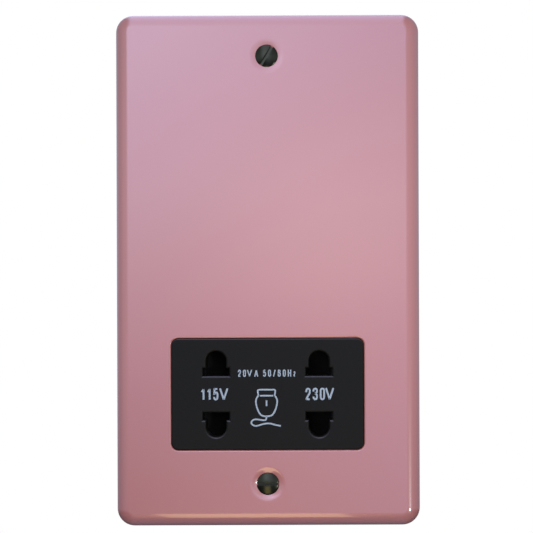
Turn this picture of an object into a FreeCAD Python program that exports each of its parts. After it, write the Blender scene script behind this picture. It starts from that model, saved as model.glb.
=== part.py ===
"""Dual-voltage shaver socket for a two-gang wall box.

X runs to the right as the user sees the plate, Y runs back into the wall and Z up.
The origin is the middle of the plate's rear rim, on the wall's surface. Sizes are in millimetres.
A cutter that goes right through runs on 1 mm past the faces it opens.
"""
import FreeCAD
import Part

import math
import os

# Pressed steel front plate
plate_width = 86.0
plate_height = 146.0
plate_rise = 6.0
plate_wall = 1.2
plate_corner_r = 5.0
plate_roll_r = 4.0

# The two screws that hold the plate to the wall box, and the dimples they sit in
fixing_inset = 12.7
fixing_head_r = 3.2
fixing_sink = 1.0
fixing_dome = 0.8
fixing_shank_r = 1.75
fixing_neck_r = 1.5
fixing_neck_length = 0.7
fixing_length = 25.0
fixing_tip = 0.5
fixing_slot_width = 1.0
fixing_slot_depth = 1.1
fixing_slot_angle_top = 60.0
fixing_slot_angle_bottom = 0.0
fixing_hole_gap = 0.2
fixing_seat_gap = 0.03
dimple_lip_r = 1.5
dimple_land = 0.5

# The window in the plate, the moulded face that fills it, and the two outlets in that face
window_width = 54.3
window_height = 31.5
window_corner_r = 2.0
window_lip_r = 0.5
window_gap = 0.15
face_above_fixing = 25.3
face_proud = 0.3
face_edge_r = 0.3
outlet_x = 14.5
arch_r = 2.8
shoulder_half = 3.7
aperture_inner_z = 5.15
aperture_shoulder_z = 7.3
aperture_arch_z = 9.3
aperture_lip_r = 0.6
chimney_wall = 0.8
chimney_length = 1.2
chimney_gap = 0.2

# Outline shared by the front moulding and the rear housing, with notches for the wall box's lugs
case_side_gap = 6.8
case_end_gap = 9.8
case_corner_r = 5.0
case_wall = 2.0
case_back_edge_r = 1.5
notch_half = 8.0
notch_corner_r = 2.0
flange_thickness = 2.0
tongue_gap = 0.1
tongue_thickness = 1.4
tongue_height = 3.0

# Room left behind the transformer and the solder tags, and the recess for the terminal strip
case_back_gap = 1.3
recess_gap = 1.4
recess_height = 26.0

# Screws that close the case
case_screw_inset = 5.5
case_boss_r = 3.5
case_boss_top_y = 8.0
case_tower_r = 4.4
case_screw_seat_y = 16.0
case_screw_head_r = 2.9
case_screw_head_h = 2.2
case_screw_shank_r = 1.45
case_screw_length = 15.0
case_screw_gap = 0.25
thread_gap = 0.02

# Form of every domed screw head and its cross recess, as shares of the head
pan_rim = 0.35
recess_share = 0.6
recess_arm_share = 0.6
recess_half = 0.35
screw_tip_share = 0.45

# Form of every slotted cheese head
slot_half = 0.35
slot_floor_share = 0.45
slotted_edge = 0.25

# Studs and nuts that hold the front moulding to the plate
stud_inset_x = 11.0
stud_inset_z = 12.0
stud_above_carrier = 10.3
stud_r = 1.5
stud_length = 6.0
stud_hole_gap = 0.15
nut_across_flats = 5.5
nut_height = 2.4
earth_tag_thickness = 0.6
earth_tag_r = 3.1
earth_tail_length = 8.0
earth_tail_half_width = 1.4

# Shutters
shutter_travel = 7.6
shutter_overlap = 0.3
shutter_gap = 0.2
shutter_depth = 7.2
shutter_side_gap = 0.3
shutter_nose = 0.6
shutter_edge = 0.5
shutter_web_depth = 4.3
peg_r = 0.8
peg_length = 1.2
cam_arm_z_low = 1.0
cam_arm_z_high = 4.0
cam_arm_run_on = 1.2
cam_arm_front = 3.3
cam_arm_thickness = 2.2
cam_gap = 0.1

# Shutter springs
spring_r = 1.5
spring_wire_r = 0.18
spring_turns = 5.0
spring_wire_sides = 8
spring_end_gap = 0.05

# Carrier for the shutters, the contacts and the microswitches
carrier_end_gap = 1.0
carrier_wall = 1.5
carrier_side_wall = 1.6
carrier_back_y = 18.0
deck_thickness = 1.6
cell_half_width = 3.9
cell_z_low = 4.6
cell_z_high = 12.7
core_pocket_gap = 1.6
stop_rib = 1.2
ear_inset = 10.5
ear_r = 3.6
ear_length = 4.0
pillar_r = 3.2
pillar_gap = 0.3
carrier_gap = 0.2
retainer_thickness = 1.6
tag_slot_gap = 0.25
module_screw_r = 1.4
module_screw_head_r = 2.6
module_screw_head_h = 1.9
module_screw_length = 12.0

# Contacts, folded from strip
strip_thickness = 0.4
contact_mouth_half = 3.1
contact_throat_half = 1.7
contact_base_half = 3.0
contact_length = 9.4
contact_end_gap = 0.2
contact_side_gap = 0.3
tag_half_width = 1.5
tag_length = 4.6
tag_thickness = 0.5

# Microswitches
switch_x = 5.5
switch_half_width = 3.2
switch_half_length = 9.9
switch_height = 10.0
switch_gap = 0.1
switch_plunger_z = 2.5
plunger_half_width = 0.9
plunger_half_length = 1.2
plunger_length = 6.0
plunger_stroke = 1.0
plunger_tip_r = 1.2
plunger_gap = 0.15
deck_hole_gap = 0.25
switch_tag_pitch = 7.5

# Transformer
core_side_gap = 6.0
core_end_gap = 3.4
core_above_carrier = 21.8
core_half_stack = 9.5
core_hole_share = 0.2
core_post_margin = 0.5
spigot_gap = 0.15
core_spigot_length = 3.0
bobbin_gap = 0.2
bobbin_side_gap = 0.3
bobbin_front_gap = 3.5
bobbin_wall = 1.0
bobbin_flange = 1.2
bobbin_flange_r = 1.5
bobbin_flange_set_in = 1.0
winding_set_in_x = 1.3
winding_set_in_y = 1.1
winding_corner_r = 3.0
winding_gap = 0.1
tape_thickness = 0.35
tag_block_depth = 5.0
tag_block_height = 2.0
tag_block_half = 14.0
bobbin_tag_pitch = 10.0
bobbin_tag_half = 0.5
bobbin_tag_length = 4.0
cutout_half_width = 7.0
cutout_half_height = 3.0
cutout_thickness = 3.0
cutout_edge_r = 0.6

# Vents in the rear housing
vent_count = 6
vent_pitch = 5.0
vent_width = 1.8
vent_length = 16.0

# Terminal strip in the recess
pole_pitch = 10.0
strip_end_gap = 2.5
strip_length = 17.0
strip_half_width = 15.0
strip_slab = 9.0
strip_height = 12.5
barrel_r = 2.9
barrel_length = 14.0
barrel_gap = 0.1
barrel_height = 6.0
wire_bore_r = 1.75
wire_bore_length = 6.5
wire_entry_r = 2.2
clamp_screw_offset = 3.6
clamp_screw_r = 1.45
clamp_head_r = 2.2
clamp_head_h = 1.6
clamp_clear = 0.25
chimney_r = 3.4
chimney_bore_r = 2.5
strip_screw_length = 14.0
strip_boss_r = 2.6
strip_boss_length = 3.4
lead_hole_r = 1.5

# Places and sizes that follow from these
fixing_spacing = plate_height - 2 * fixing_inset
face_z = face_above_fixing - fixing_spacing / 2
case_width = plate_width - 2 * (plate_wall + case_side_gap)
case_height = plate_height - 2 * (plate_wall + case_end_gap)
case_screw_x = case_width / 2 - case_screw_inset
case_screw_z = case_height / 2 - case_screw_inset
face_y = -plate_rise
plate_back_y = face_y + plate_wall
flange_back_y = plate_back_y + flange_thickness
chimney_end_y = flange_back_y + chimney_length
shutter_front_y = chimney_end_y + shutter_gap
shutter_back_y = shutter_front_y + shutter_depth
deck_y = shutter_back_y + shutter_gap
cell_y = deck_y + deck_thickness
retainer_back_y = carrier_back_y + retainer_thickness
aperture_outer_z = aperture_arch_z + arch_r
wing_half = shoulder_half + shutter_overlap
wing_z_low = aperture_inner_z - shutter_overlap
cavity_half_z = aperture_outer_z + chimney_wall + chimney_gap
wing_z_high = cavity_half_z - shutter_side_gap
carrier_half_z = cavity_half_z + carrier_side_wall
tongue_inset = case_wall + tongue_gap
tongue_inner = tongue_inset + tongue_thickness
notch_floor_z = carrier_half_z - face_z + carrier_gap + tongue_inner
carrier_half_width = case_width / 2 - tongue_inner - carrier_end_gap
carrier_top_z = face_z + carrier_half_z
ear_x = carrier_half_width - ear_inset
stud_x = case_width / 2 - stud_inset_x
stud_z_top = case_height / 2 - stud_inset_z
stud_z_bottom = carrier_top_z + stud_above_carrier
cavity_half_x = carrier_half_width - carrier_wall
ear_offset_z = carrier_half_z + pillar_gap + pillar_r
spring_y = shutter_back_y - shutter_web_depth / 2
plunger_tip_y = shutter_front_y + cam_arm_front + cam_arm_thickness
recess_back_y = carrier_back_y + tag_length + recess_gap + case_wall
recess_top_z = recess_height - case_height / 2
strip_mid_z = recess_top_z - strip_end_gap - strip_length / 2
barrel_y = recess_back_y + barrel_height

# The laminations have the usual proportions, in units of the outer leg's width: 6 wide, 5 high, a
# middle leg of 2 and windows of 1 by 3. The unit is the largest that fits the case both ways.
core_top_z = notch_floor_z - tongue_inner - core_end_gap
core_unit_across = (case_width / 2 - case_wall - core_side_gap) / 3
core_unit_up = (core_top_z - carrier_top_z - core_above_carrier) / 5
core_unit = min(core_unit_across, core_unit_up)
core_half_width = 3.0 * core_unit
core_half_height = 2.5 * core_unit
core_leg_half = core_unit
core_window_half_z = 1.5 * core_unit
core_hole_x = 2.5 * core_unit
core_hole_z = 2.0 * core_unit
core_hole_r = core_hole_share * core_unit
core_post_r = core_unit / 2 - core_post_margin
core_spigot_r = core_hole_r - spigot_gap
core_z = core_top_z - core_half_height
bobbin_flange_half_x = 2 * core_unit - bobbin_side_gap
bobbin_flange_half_y = core_half_stack + core_unit - bobbin_flange_set_in
winding_half_x = bobbin_flange_half_x - winding_set_in_x
winding_half_y = bobbin_flange_half_y - winding_set_in_y
core_y = flange_back_y + bobbin_front_gap + bobbin_flange_half_y
core_front_y = core_y - core_half_stack
core_rear_y = core_y + core_half_stack
case_back_y = core_y + bobbin_flange_half_y + case_back_gap + case_wall


def vec(x, y, z):
    return FreeCAD.Vector(x, y, z)


def box(x0, x1, y0, y1, z0, z1):
    """A box between two corners, given in either order."""
    lows = [min(x0, x1), min(y0, y1), min(z0, z1)]
    sizes = [abs(x1 - x0), abs(y1 - y0), abs(z1 - z0)]
    return Part.makeBox(*sizes, vec(*lows))


def prism_y(points, y0, y1):
    """A prism along Y on a closed polygon of (x, z) points."""
    wire = Part.makePolygon([vec(x, y0, z) for x, z in points + points[:1]])
    return Part.Face(wire).extrude(vec(0, y1 - y0, 0))


def prism_z(points, z0, z1):
    """A prism along Z on a closed polygon of (x, y) points."""
    wire = Part.makePolygon([vec(x, y, z0) for x, y in points + points[:1]])
    return Part.Face(wire).extrude(vec(0, 0, z1 - z0))


def rounded_prism(half_x, half_z, r, y0, y1, x=0.0, z=0.0):
    """A prism along Y with a rounded rectangle for its section."""
    solid = box(x - half_x, x + half_x, y0, y1, z - half_z, z + half_z)
    corners = [e for e in solid.Edges if abs(e.Vertexes[0].Y - e.Vertexes[-1].Y) > 1e-6]
    return solid.makeFillet(r, corners)


def rod_y(x, z, r, y0, y1):
    return Part.makeCylinder(r, abs(y1 - y0), vec(x, min(y0, y1), z), vec(0, 1, 0))


def rod_x(y, z, r, x0, x1):
    return Part.makeCylinder(r, abs(x1 - x0), vec(min(x0, x1), y, z), vec(1, 0, 0))


def rod_z(x, y, r, z0, z1):
    return Part.makeCylinder(r, abs(z1 - z0), vec(x, y, min(z0, z1)), vec(0, 0, 1))


def turned(edges, x, z):
    """A solid of revolution about an axis along Y through (x, z), from edges drawn in the XY plane."""
    solid = Part.Face(Part.Wire(edges)).revolve(vec(0, 0, 0), vec(0, 1, 0), 360)
    solid.translate(vec(x, 0, z))
    return solid


def line(a, b):
    return Part.LineSegment(vec(*a, 0), vec(*b, 0)).toShape()


def arc(a, b, c):
    return Part.Arc(vec(*a, 0), vec(*b, 0), vec(*c, 0)).toShape()


def path(points):
    """Straight edges through a closed list of (radius, y) points."""
    return [line(a, b) for a, b in zip(points, points[1:] + points[:1])]


def join(*solids):
    whole = solids[0].multiFuse(list(solids[1:])) if len(solids) > 1 else solids[0]
    return whole.removeSplitter()


def on_plane(solid, y, inside):
    """Edges that lie in the plane at this depth and whose middle passes the test."""
    found = []
    for e in solid.Edges:
        level = all(abs(v.Y - y) < 1e-5 for v in e.Vertexes)
        if level and inside(e.BoundBox.Center):
            found.append(e)
    return found


def half_turn(shape):
    """The 230 V side of a mechanism piece: the 115 V one turned half round the face's middle."""
    other = shape.copy()
    other.rotate(vec(0, 0, face_z), vec(0, 1, 0), 180)
    return other


def fixing_points():
    return [fixing_spacing / 2, -fixing_spacing / 2]


def four_corners(x, z, mid_z=0.0):
    return [(sx * x, mid_z + sz * z) for sx in (-1, 1) for sz in (-1, 1)]


def stud_points():
    return [(sx * stud_x, z) for z in (stud_z_top, stud_z_bottom) for sx in (-1, 1)]


# Front plate and its screws

def dimple_edges():
    """The seat pressed into the plate for a countersunk head, with a rolled lip."""
    mouth_r = fixing_head_r + fixing_sink
    hole_r = fixing_shank_r + fixing_hole_gap
    run = dimple_lip_r * math.tan(math.radians(22.5))
    lip_start = (mouth_r + run, face_y)
    lip_end = (mouth_r - run * math.sqrt(0.5), face_y + run * math.sqrt(0.5))
    turn = math.radians(22.5)
    lip_mid = (
        lip_start[0] - dimple_lip_r * math.sin(turn),
        face_y + dimple_lip_r * (1 - math.cos(turn)),
    )
    above = face_y - 1.0
    below = 0.0
    seat_end = (hole_r, face_y + mouth_r - hole_r)
    return [
        line((0, above), (lip_start[0], above)),
        line((lip_start[0], above), lip_start),
        arc(lip_start, lip_mid, lip_end),
        line(lip_end, seat_end),
        line(seat_end, (hole_r, below)),
        line((hole_r, below), (0, below)),
        line((0, below), (0, above)),
    ]


def dimple_boss(z):
    """The back of the pressed seat, a cone parallel to the seat."""
    mouth_r = fixing_head_r + fixing_sink
    depth = mouth_r - fixing_shank_r - fixing_hole_gap + dimple_land
    wide = mouth_r + plate_wall * (math.sqrt(2) - 1)
    narrow = mouth_r - depth + plate_wall * math.sqrt(2)
    inside_y = face_y + plate_wall / 2
    end_y = face_y + depth
    points = [(0, inside_y), (wide, inside_y), (wide, plate_back_y), (narrow, end_y), (0, end_y)]
    return turned(path(points), 0, z)


def front_plate():
    shell = rounded_prism(plate_width / 2, plate_height / 2, plate_corner_r, face_y, 0)
    shell = shell.makeFillet(plate_roll_r, on_plane(shell, face_y, lambda c: True))
    inner_half_x = plate_width / 2 - plate_wall
    inner_half_z = plate_height / 2 - plate_wall
    hollow = rounded_prism(inner_half_x, inner_half_z, plate_corner_r - plate_wall, plate_back_y, 1)
    bottom = on_plane(hollow, plate_back_y, lambda c: True)
    hollow = hollow.makeFillet(plate_roll_r - plate_wall, bottom)
    shell = shell.cut(hollow)
    shell = join(shell, *[dimple_boss(z) for z in fixing_points()])
    for z in fixing_points():
        shell = shell.cut(turned(dimple_edges(), 0, z))
    half_x = window_width / 2
    half_z = window_height / 2
    window = rounded_prism(half_x, half_z, window_corner_r, face_y - 1, 0, 0, face_z)
    shell = shell.cut(window)

    def at_window(c):
        return abs(c.z - face_z) < half_z + 0.1 and abs(c.x) < half_x + 0.1

    return shell.makeFillet(window_lip_r, on_plane(shell, face_y, at_window))


def fixing_screw(z, slot_angle):
    """A raised countersunk screw with a slotted head and a plain neck above its thread."""
    rim_y = face_y + fixing_sink
    top_y = rim_y - fixing_dome
    r = fixing_head_r - fixing_seat_gap
    neck_y = rim_y + r - fixing_neck_r
    neck_end_y = neck_y + fixing_neck_length
    thread_y = neck_end_y + fixing_shank_r - fixing_neck_r
    end_y = rim_y + fixing_length
    dome_r = (r * r + fixing_dome * fixing_dome) / (2 * fixing_dome)
    side = math.asin(r / dome_r) / 2
    dome_mid = (dome_r * math.sin(side), top_y + dome_r * (1 - math.cos(side)))
    tip_r = fixing_shank_r - fixing_tip
    edges = [
        arc((0, top_y), dome_mid, (r, rim_y)),
        line((r, rim_y), (fixing_neck_r, neck_y)),
        line((fixing_neck_r, neck_y), (fixing_neck_r, neck_end_y)),
        line((fixing_neck_r, neck_end_y), (fixing_shank_r, thread_y)),
        line((fixing_shank_r, thread_y), (fixing_shank_r, end_y - fixing_tip)),
        line((fixing_shank_r, end_y - fixing_tip), (tip_r, end_y)),
        line((tip_r, end_y), (0, end_y)),
        line((0, end_y), (0, top_y)),
    ]
    screw = turned(edges, 0, z)
    half = fixing_slot_width / 2
    floor_y = top_y + fixing_slot_depth
    slot = box(-2 * r, 2 * r, top_y - 1, floor_y, z - half, z + half)
    slot.rotate(vec(0, 0, z), vec(0, 1, 0), -slot_angle)
    return screw.cut(slot)


def plate_studs():
    """Clinched studs on the back of the plate."""
    end_y = plate_back_y + stud_length
    return [rod_y(x, z, stud_r, plate_back_y, end_y) for x, z in stud_points()]


def hex_nut(x, z, y0):
    r = nut_across_flats / math.sqrt(3)
    turns = [math.radians(a) for a in range(0, 360, 60)]
    points = [(x + r * math.cos(a), z + r * math.sin(a)) for a in turns]
    nut = prism_y(points, y0, y0 + nut_height)
    blank = rod_y(x, z, r, y0, y0 + nut_height)
    blank = blank.makeChamfer(r - nut_across_flats / 2, blank.Edges)
    return nut.common(blank).cut(rod_y(x, z, stud_r + thread_gap, y0 - 1, y0 + nut_height + 1))


def stud_nuts():
    """One nut to each stud. The one at the earth tag stands on the tag."""
    nuts = []
    for i, (x, z) in enumerate(stud_points()):
        lift = earth_tag_thickness if i == 3 else 0
        nuts.append(hex_nut(x, z, flange_back_y + lift))
    return nuts


def earth_tag():
    """A ring tag under one nut, with a tail for the earth lead."""
    x, z = stud_points()[3]
    y1 = flange_back_y + earth_tag_thickness
    half = earth_tail_half_width
    tail = box(x - earth_tail_length, x, flange_back_y, y1, z - half, z + half)
    ring = join(rod_y(x, z, earth_tag_r, flange_back_y, y1), tail)
    return ring.cut(rod_y(x, z, stud_r + stud_hole_gap, flange_back_y - 1, y1 + 1))


# Front moulding

def footprint(inset, y0, y1):
    """The case outline, drawn in by the inset, with its lug notches."""
    body = rounded_prism(
        case_width / 2 - inset, case_height / 2 - inset, max(case_corner_r - inset, 1.0), y0, y1
    )
    for side in (-1, 1):
        reach = case_height / 2 - notch_floor_z
        mid = side * (notch_floor_z - inset + reach)
        notch = rounded_prism(notch_half + inset, reach, notch_corner_r, y0 - 1, y1 + 1, 0, mid)
        body = body.cut(notch)
    return body


def aperture(side_z, grow, y0, y1):
    """One pin aperture of the 115 V outlet: a flat edge, two shoulders and a round end."""
    x = -outlet_x
    s = shoulder_half + grow
    a = arch_r + grow
    z0 = face_z + side_z * (aperture_inner_z - grow)
    z1 = face_z + side_z * (aperture_shoulder_z + grow)
    z2 = face_z + side_z * aperture_arch_z
    top = z2 + side_z * a
    left = [(x - a, z2), (x - a, z1), (x - s, z1), (x - s, z0)]
    right = [(x + s, z0), (x + s, z1), (x + a, z1), (x + a, z2)]
    corners = left + right
    edges = [
        Part.LineSegment(vec(p[0], y0, p[1]), vec(q[0], y0, q[1])).toShape()
        for p, q in zip(corners, corners[1:])
    ]
    edges.append(Part.Arc(vec(x + a, y0, z2), vec(x, y0, top), vec(x - a, y0, z2)).toShape())
    return Part.Face(Part.Wire(edges)).extrude(vec(0, y1 - y0, 0))


def all_apertures(grow, y0, y1):
    left = [aperture(side, grow, y0, y1) for side in (1, -1)]
    return left + [half_turn(a) for a in left]


def front_moulding():
    top_y = face_y - face_proud
    body = footprint(0, plate_back_y, flange_back_y)
    half_x = window_width / 2 - window_gap
    half_z = window_height / 2 - window_gap
    corner_r = window_corner_r - window_gap
    boss = rounded_prism(half_x, half_z, corner_r, top_y, plate_back_y + 1, 0, face_z)
    boss = boss.makeFillet(face_edge_r, on_plane(boss, top_y, lambda c: True))
    tongue_y = flange_back_y + tongue_height
    tongue = footprint(tongue_inset, flange_back_y - 0.5, tongue_y)
    tongue_inside = footprint(tongue_inner, flange_back_y - 1, tongue_y + 1)
    grown = [boss, tongue.cut(tongue_inside)]
    grown += all_apertures(chimney_wall, flange_back_y - 1, chimney_end_y)
    case_bosses = four_corners(case_screw_x, case_screw_z)
    grown += [rod_y(x, z, case_boss_r, flange_back_y - 1, case_boss_top_y) for x, z in case_bosses]
    pillars = four_corners(ear_x, ear_offset_z, face_z)
    pillar_top_y = carrier_back_y - ear_length
    grown += [rod_y(x, z, pillar_r, flange_back_y - 1, pillar_top_y) for x, z in pillars]
    posts = four_corners(core_hole_x, core_hole_z, core_z)
    grown += [rod_y(x, z, core_post_r, flange_back_y - 1, core_front_y) for x, z in posts]
    spigot_y = core_front_y + core_spigot_length
    grown += [rod_y(x, z, core_spigot_r, core_front_y - 1, spigot_y) for x, z in posts]
    body = join(body, *grown)
    case_end_y = case_screw_seat_y - case_screw_length - 1
    module_end_y = retainer_back_y - module_screw_length - 1
    case_hole_r = case_screw_shank_r + thread_gap
    module_hole_r = module_screw_r + thread_gap
    stud_hole_r = stud_r + stud_hole_gap
    holes = [rod_y(x, z, case_hole_r, case_end_y, case_boss_top_y + 1) for x, z in case_bosses]
    holes += [rod_y(x, z, module_hole_r, module_end_y, pillar_top_y + 1) for x, z in pillars]
    holes += [rod_y(x, z, stud_hole_r, plate_back_y - 1, flange_back_y + 1) for x, z in stud_points()]
    holes += all_apertures(0, top_y - 1, chimney_end_y + 1)
    for hole in holes:
        body = body.cut(hole)
    mouth_reach = aperture_outer_z + 0.1
    land = half_z - face_edge_r - aperture_outer_z

    def at_aperture(c):
        return abs(abs(c.x) - outlet_x) < shoulder_half + 0.1 and abs(c.z - face_z) < mouth_reach

    return body.makeFillet(min(aperture_lip_r, 0.9 * land), on_plane(body, top_y, at_aperture))


# Shutters and their springs

def cam_line(x):
    """Depth of the cam's back surface at a place along X, with the shutter closed."""
    slope = plunger_stroke / shutter_travel
    return plunger_tip_y - cam_gap + slope * (x + switch_x)


def shutter():
    """The 115 V shutter: two ramped wings on a web, a cam arm and a spring peg."""
    x0 = -outlet_x - wing_half
    x1 = -outlet_x + wing_half
    ramp = [
        (x0, shutter_front_y),
        (x0 + shutter_nose, shutter_front_y),
        (x1, shutter_back_y - shutter_edge),
        (x1, shutter_back_y),
        (x0, shutter_back_y),
    ]
    wings = [prism_z(ramp, face_z + wing_z_low, face_z + wing_z_high)]
    wings.append(prism_z(ramp, face_z - wing_z_high, face_z - wing_z_low))
    web_y = shutter_back_y - shutter_web_depth
    web = box(x0, x1, web_y, shutter_back_y, face_z - wing_z_low, face_z + wing_z_low)
    tip = -switch_x + shutter_travel + cam_arm_run_on
    front = shutter_front_y + cam_arm_front
    root = x1 - 1
    arm = [(root, front), (tip, front), (tip, cam_line(tip)), (root, cam_line(root))]
    arm = prism_z(arm, face_z + cam_arm_z_low, face_z + cam_arm_z_high)
    peg = rod_x(spring_y, face_z, peg_r, x0 - peg_length, x0 + 1)
    return join(*wings, web, arm, peg)


def shutter_spring():
    """A compression spring between the carrier's end wall and the 115 V shutter."""
    start = -cavity_half_x + spring_wire_r + spring_end_gap
    end = -outlet_x - wing_half - spring_wire_r - spring_end_gap
    length = end - start
    coil = Part.makeLongHelix(length / spring_turns, length, spring_r, 0)
    turns = [2 * math.pi * i / spring_wire_sides for i in range(spring_wire_sides + 1)]
    ring = [vec(spring_r + spring_wire_r * math.cos(a), 0, spring_wire_r * math.sin(a)) for a in turns]
    solid = Part.Wire(coil.Edges).makePipeShell([Part.makePolygon(ring)], True, True)
    solid.rotate(vec(0, 0, 0), vec(0, 1, 0), 90)
    solid.translate(vec(start, spring_y, face_z))
    return solid


# Carrier, contacts and microswitches

def contact_carrier():
    body = box(
        -carrier_half_width, carrier_half_width, flange_back_y, carrier_back_y,
        face_z - carrier_half_z, face_z + carrier_half_z,
    )
    ears = []
    for x, z in four_corners(ear_x, ear_offset_z, face_z):
        ear_y = carrier_back_y - ear_length
        ears.append(rod_y(x, z, ear_r, ear_y, carrier_back_y))
        ears.append(box(x - ear_r, x + ear_r, ear_y, carrier_back_y, z, face_z))
    body = join(body, *ears)
    cavity = box(
        -cavity_half_x, cavity_half_x, flange_back_y - 1, deck_y,
        face_z - cavity_half_z, face_z + cavity_half_z,
    )
    body = body.cut(cavity)
    stops = []
    for side in (-1, 1):
        z0 = face_z + side * wing_z_low
        z1 = face_z + side * cavity_half_z
        x0 = -outlet_x + wing_half + shutter_gap
        stops.append(box(x0, x0 + stop_rib, shutter_front_y, deck_y + 0.5, z0, z1 + side * 0.5))
    peg = rod_x(spring_y, face_z, peg_r, -cavity_half_x - 0.5, -cavity_half_x + peg_length)
    extras = stops + [peg]
    body = join(body, *extras, *[half_turn(s) for s in extras])
    voids = []
    end = carrier_back_y + 1
    for side in (-1, 1):
        z0 = face_z + side * cell_z_low
        z1 = face_z + side * cell_z_high
        x0 = -outlet_x - cell_half_width
        voids.append(box(x0, x0 + 2 * cell_half_width, cell_y, end, z0, z1))
        voids.append(aperture(side, shutter_overlap, deck_y - 1, cell_y + 1))
    half_x = switch_half_width + switch_gap
    half_z = switch_half_length + switch_gap
    voids.append(box(-switch_x - half_x, -switch_x + half_x, cell_y, end, face_z - half_z, face_z + half_z))
    half_x = plunger_half_width + deck_hole_gap
    half_z = plunger_half_length + deck_hole_gap
    z = face_z + switch_plunger_z
    voids.append(box(-switch_x - half_x, -switch_x + half_x, deck_y - 1, cell_y + 1, z - half_z, z + half_z))
    pocket_x = -outlet_x - cell_half_width - core_pocket_gap
    half_z = cavity_half_z
    voids.append(box(-cavity_half_x, pocket_x, cell_y, end, face_z - half_z, face_z + half_z))
    for v in voids:
        body = body.cut(v).cut(half_turn(v))
    for x, z in four_corners(ear_x, ear_offset_z, face_z):
        body = body.cut(rod_y(x, z, module_screw_r + case_screw_gap, 0, end))
    return body


def contact(side):
    """A strip folded into a jaw that grips a pin, with a solder tag."""
    back = carrier_back_y - contact_end_gap - strip_thickness
    mouth = back - contact_length
    throat = mouth + contact_length * 0.25
    waist = mouth + contact_length * 0.6
    bow = (contact_throat_half + contact_base_half) / 2
    half = [
        (contact_base_half, back),
        (bow, waist),
        (contact_throat_half, throat),
        (contact_mouth_half, mouth),
    ]
    points = [(-x, y) for x, y in reversed(half)] + half
    middle = Part.makePolygon([vec(x - outlet_x, y, 0) for x, y in points])
    jaw = middle.makeOffset2D(strip_thickness / 2, join=0, fill=False, openResult=False)
    z0 = cell_z_low + contact_side_gap
    z1 = cell_z_high - contact_side_gap
    jaw = Part.Face(jaw).extrude(vec(0, 0, z1 - z0))
    jaw.translate(vec(0, 0, face_z + (z0 if side > 0 else -z1)))
    mid = face_z + side * (z0 + z1) / 2
    tag_y = back + strip_thickness / 4
    tag = box(
        -outlet_x - tag_half_width, -outlet_x + tag_half_width, tag_y, carrier_back_y + tag_length,
        mid - tag_thickness / 2, mid + tag_thickness / 2,
    )
    return join(jaw, tag)


def switch_tag_places():
    """Middle (x, z) of each solder tag on the 115 V side's microswitch."""
    return [(-switch_x, face_z + i * switch_tag_pitch) for i in (-1, 0, 1)]


def contact_tag_places():
    mid = (cell_z_low + cell_z_high) / 2
    return [(-outlet_x, face_z + side * mid) for side in (-1, 1)]


def contact_retainer():
    """The plate that closes the carrier, slotted for the solder tags."""
    plate = box(
        -carrier_half_width, carrier_half_width, carrier_back_y, retainer_back_y,
        face_z - carrier_half_z, face_z + carrier_half_z,
    )
    lugs = []
    for x, z in four_corners(ear_x, ear_offset_z, face_z):
        lugs.append(rod_y(x, z, ear_r, carrier_back_y, retainer_back_y))
        lugs.append(box(x - ear_r, x + ear_r, carrier_back_y, retainer_back_y, z, face_z))
    plate = join(plate, *lugs)
    y0 = carrier_back_y - 1
    y1 = retainer_back_y + 1
    w = tag_half_width + tag_slot_gap
    t = tag_thickness / 2 + tag_slot_gap
    for x, z in contact_tag_places():
        slot = box(x - w, x + w, y0, y1, z - t, z + t)
        plate = plate.cut(slot).cut(half_turn(slot))
    for x, z in switch_tag_places():
        slot = box(x - t, x + t, y0, y1, z - w, z + w)
        plate = plate.cut(slot).cut(half_turn(slot))
    for x, z in four_corners(ear_x, ear_offset_z, face_z):
        plate = plate.cut(rod_y(x, z, module_screw_r + case_screw_gap, y0, y1))
    return plate


def pan_screw(x, z, seat_y, r, length, head_r, head_h):
    """A self-tapping screw with a domed head towards the back and a cross recess."""
    rim_y = seat_y + pan_rim * head_h
    top_y = seat_y + head_h
    side = math.radians(45)
    dome_mid = (head_r * math.cos(side), rim_y + (top_y - rim_y) * math.sin(side))
    tip_y = seat_y - length
    tip_r = screw_tip_share * r
    edges = [
        line((0, tip_y), (tip_r, tip_y)),
        line((tip_r, tip_y), (r, tip_y + r)),
        line((r, tip_y + r), (r, seat_y)),
        line((r, seat_y), (head_r, seat_y)),
        line((head_r, seat_y), (head_r, rim_y)),
        arc((head_r, rim_y), dome_mid, (0, top_y)),
        line((0, top_y), (0, tip_y)),
    ]
    screw = turned(edges, x, z)
    floor_y = top_y - recess_share * head_h
    arm = recess_arm_share * head_r
    for dx, dz in ((arm, recess_half), (recess_half, arm)):
        screw = screw.cut(box(x - dx, x + dx, floor_y, top_y + 1, z - dz, z + dz))
    return screw


def module_screws():
    """Four screws through the retainer and the carrier's ears into the front moulding."""
    sizes = (module_screw_r, module_screw_length, module_screw_head_r, module_screw_head_h)
    places = four_corners(ear_x, ear_offset_z, face_z)
    return [pan_screw(x, z, retainer_back_y, *sizes) for x, z in places]


def switch_body():
    """A sealed microswitch with a well for its plunger."""
    y0 = cell_y + switch_gap
    y1 = y0 + switch_height
    body = box(
        -switch_x - switch_half_width, -switch_x + switch_half_width, y0, y1,
        face_z - switch_half_length, face_z + switch_half_length,
    )
    z = face_z + switch_plunger_z
    well = box(
        -switch_x - plunger_half_width - plunger_gap,
        -switch_x + plunger_half_width + plunger_gap,
        y0 - 1,
        plunger_tip_y + plunger_length + plunger_stroke + plunger_gap,
        z - plunger_half_length - plunger_gap,
        z + plunger_half_length + plunger_gap,
    )
    return body.cut(well)


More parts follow.
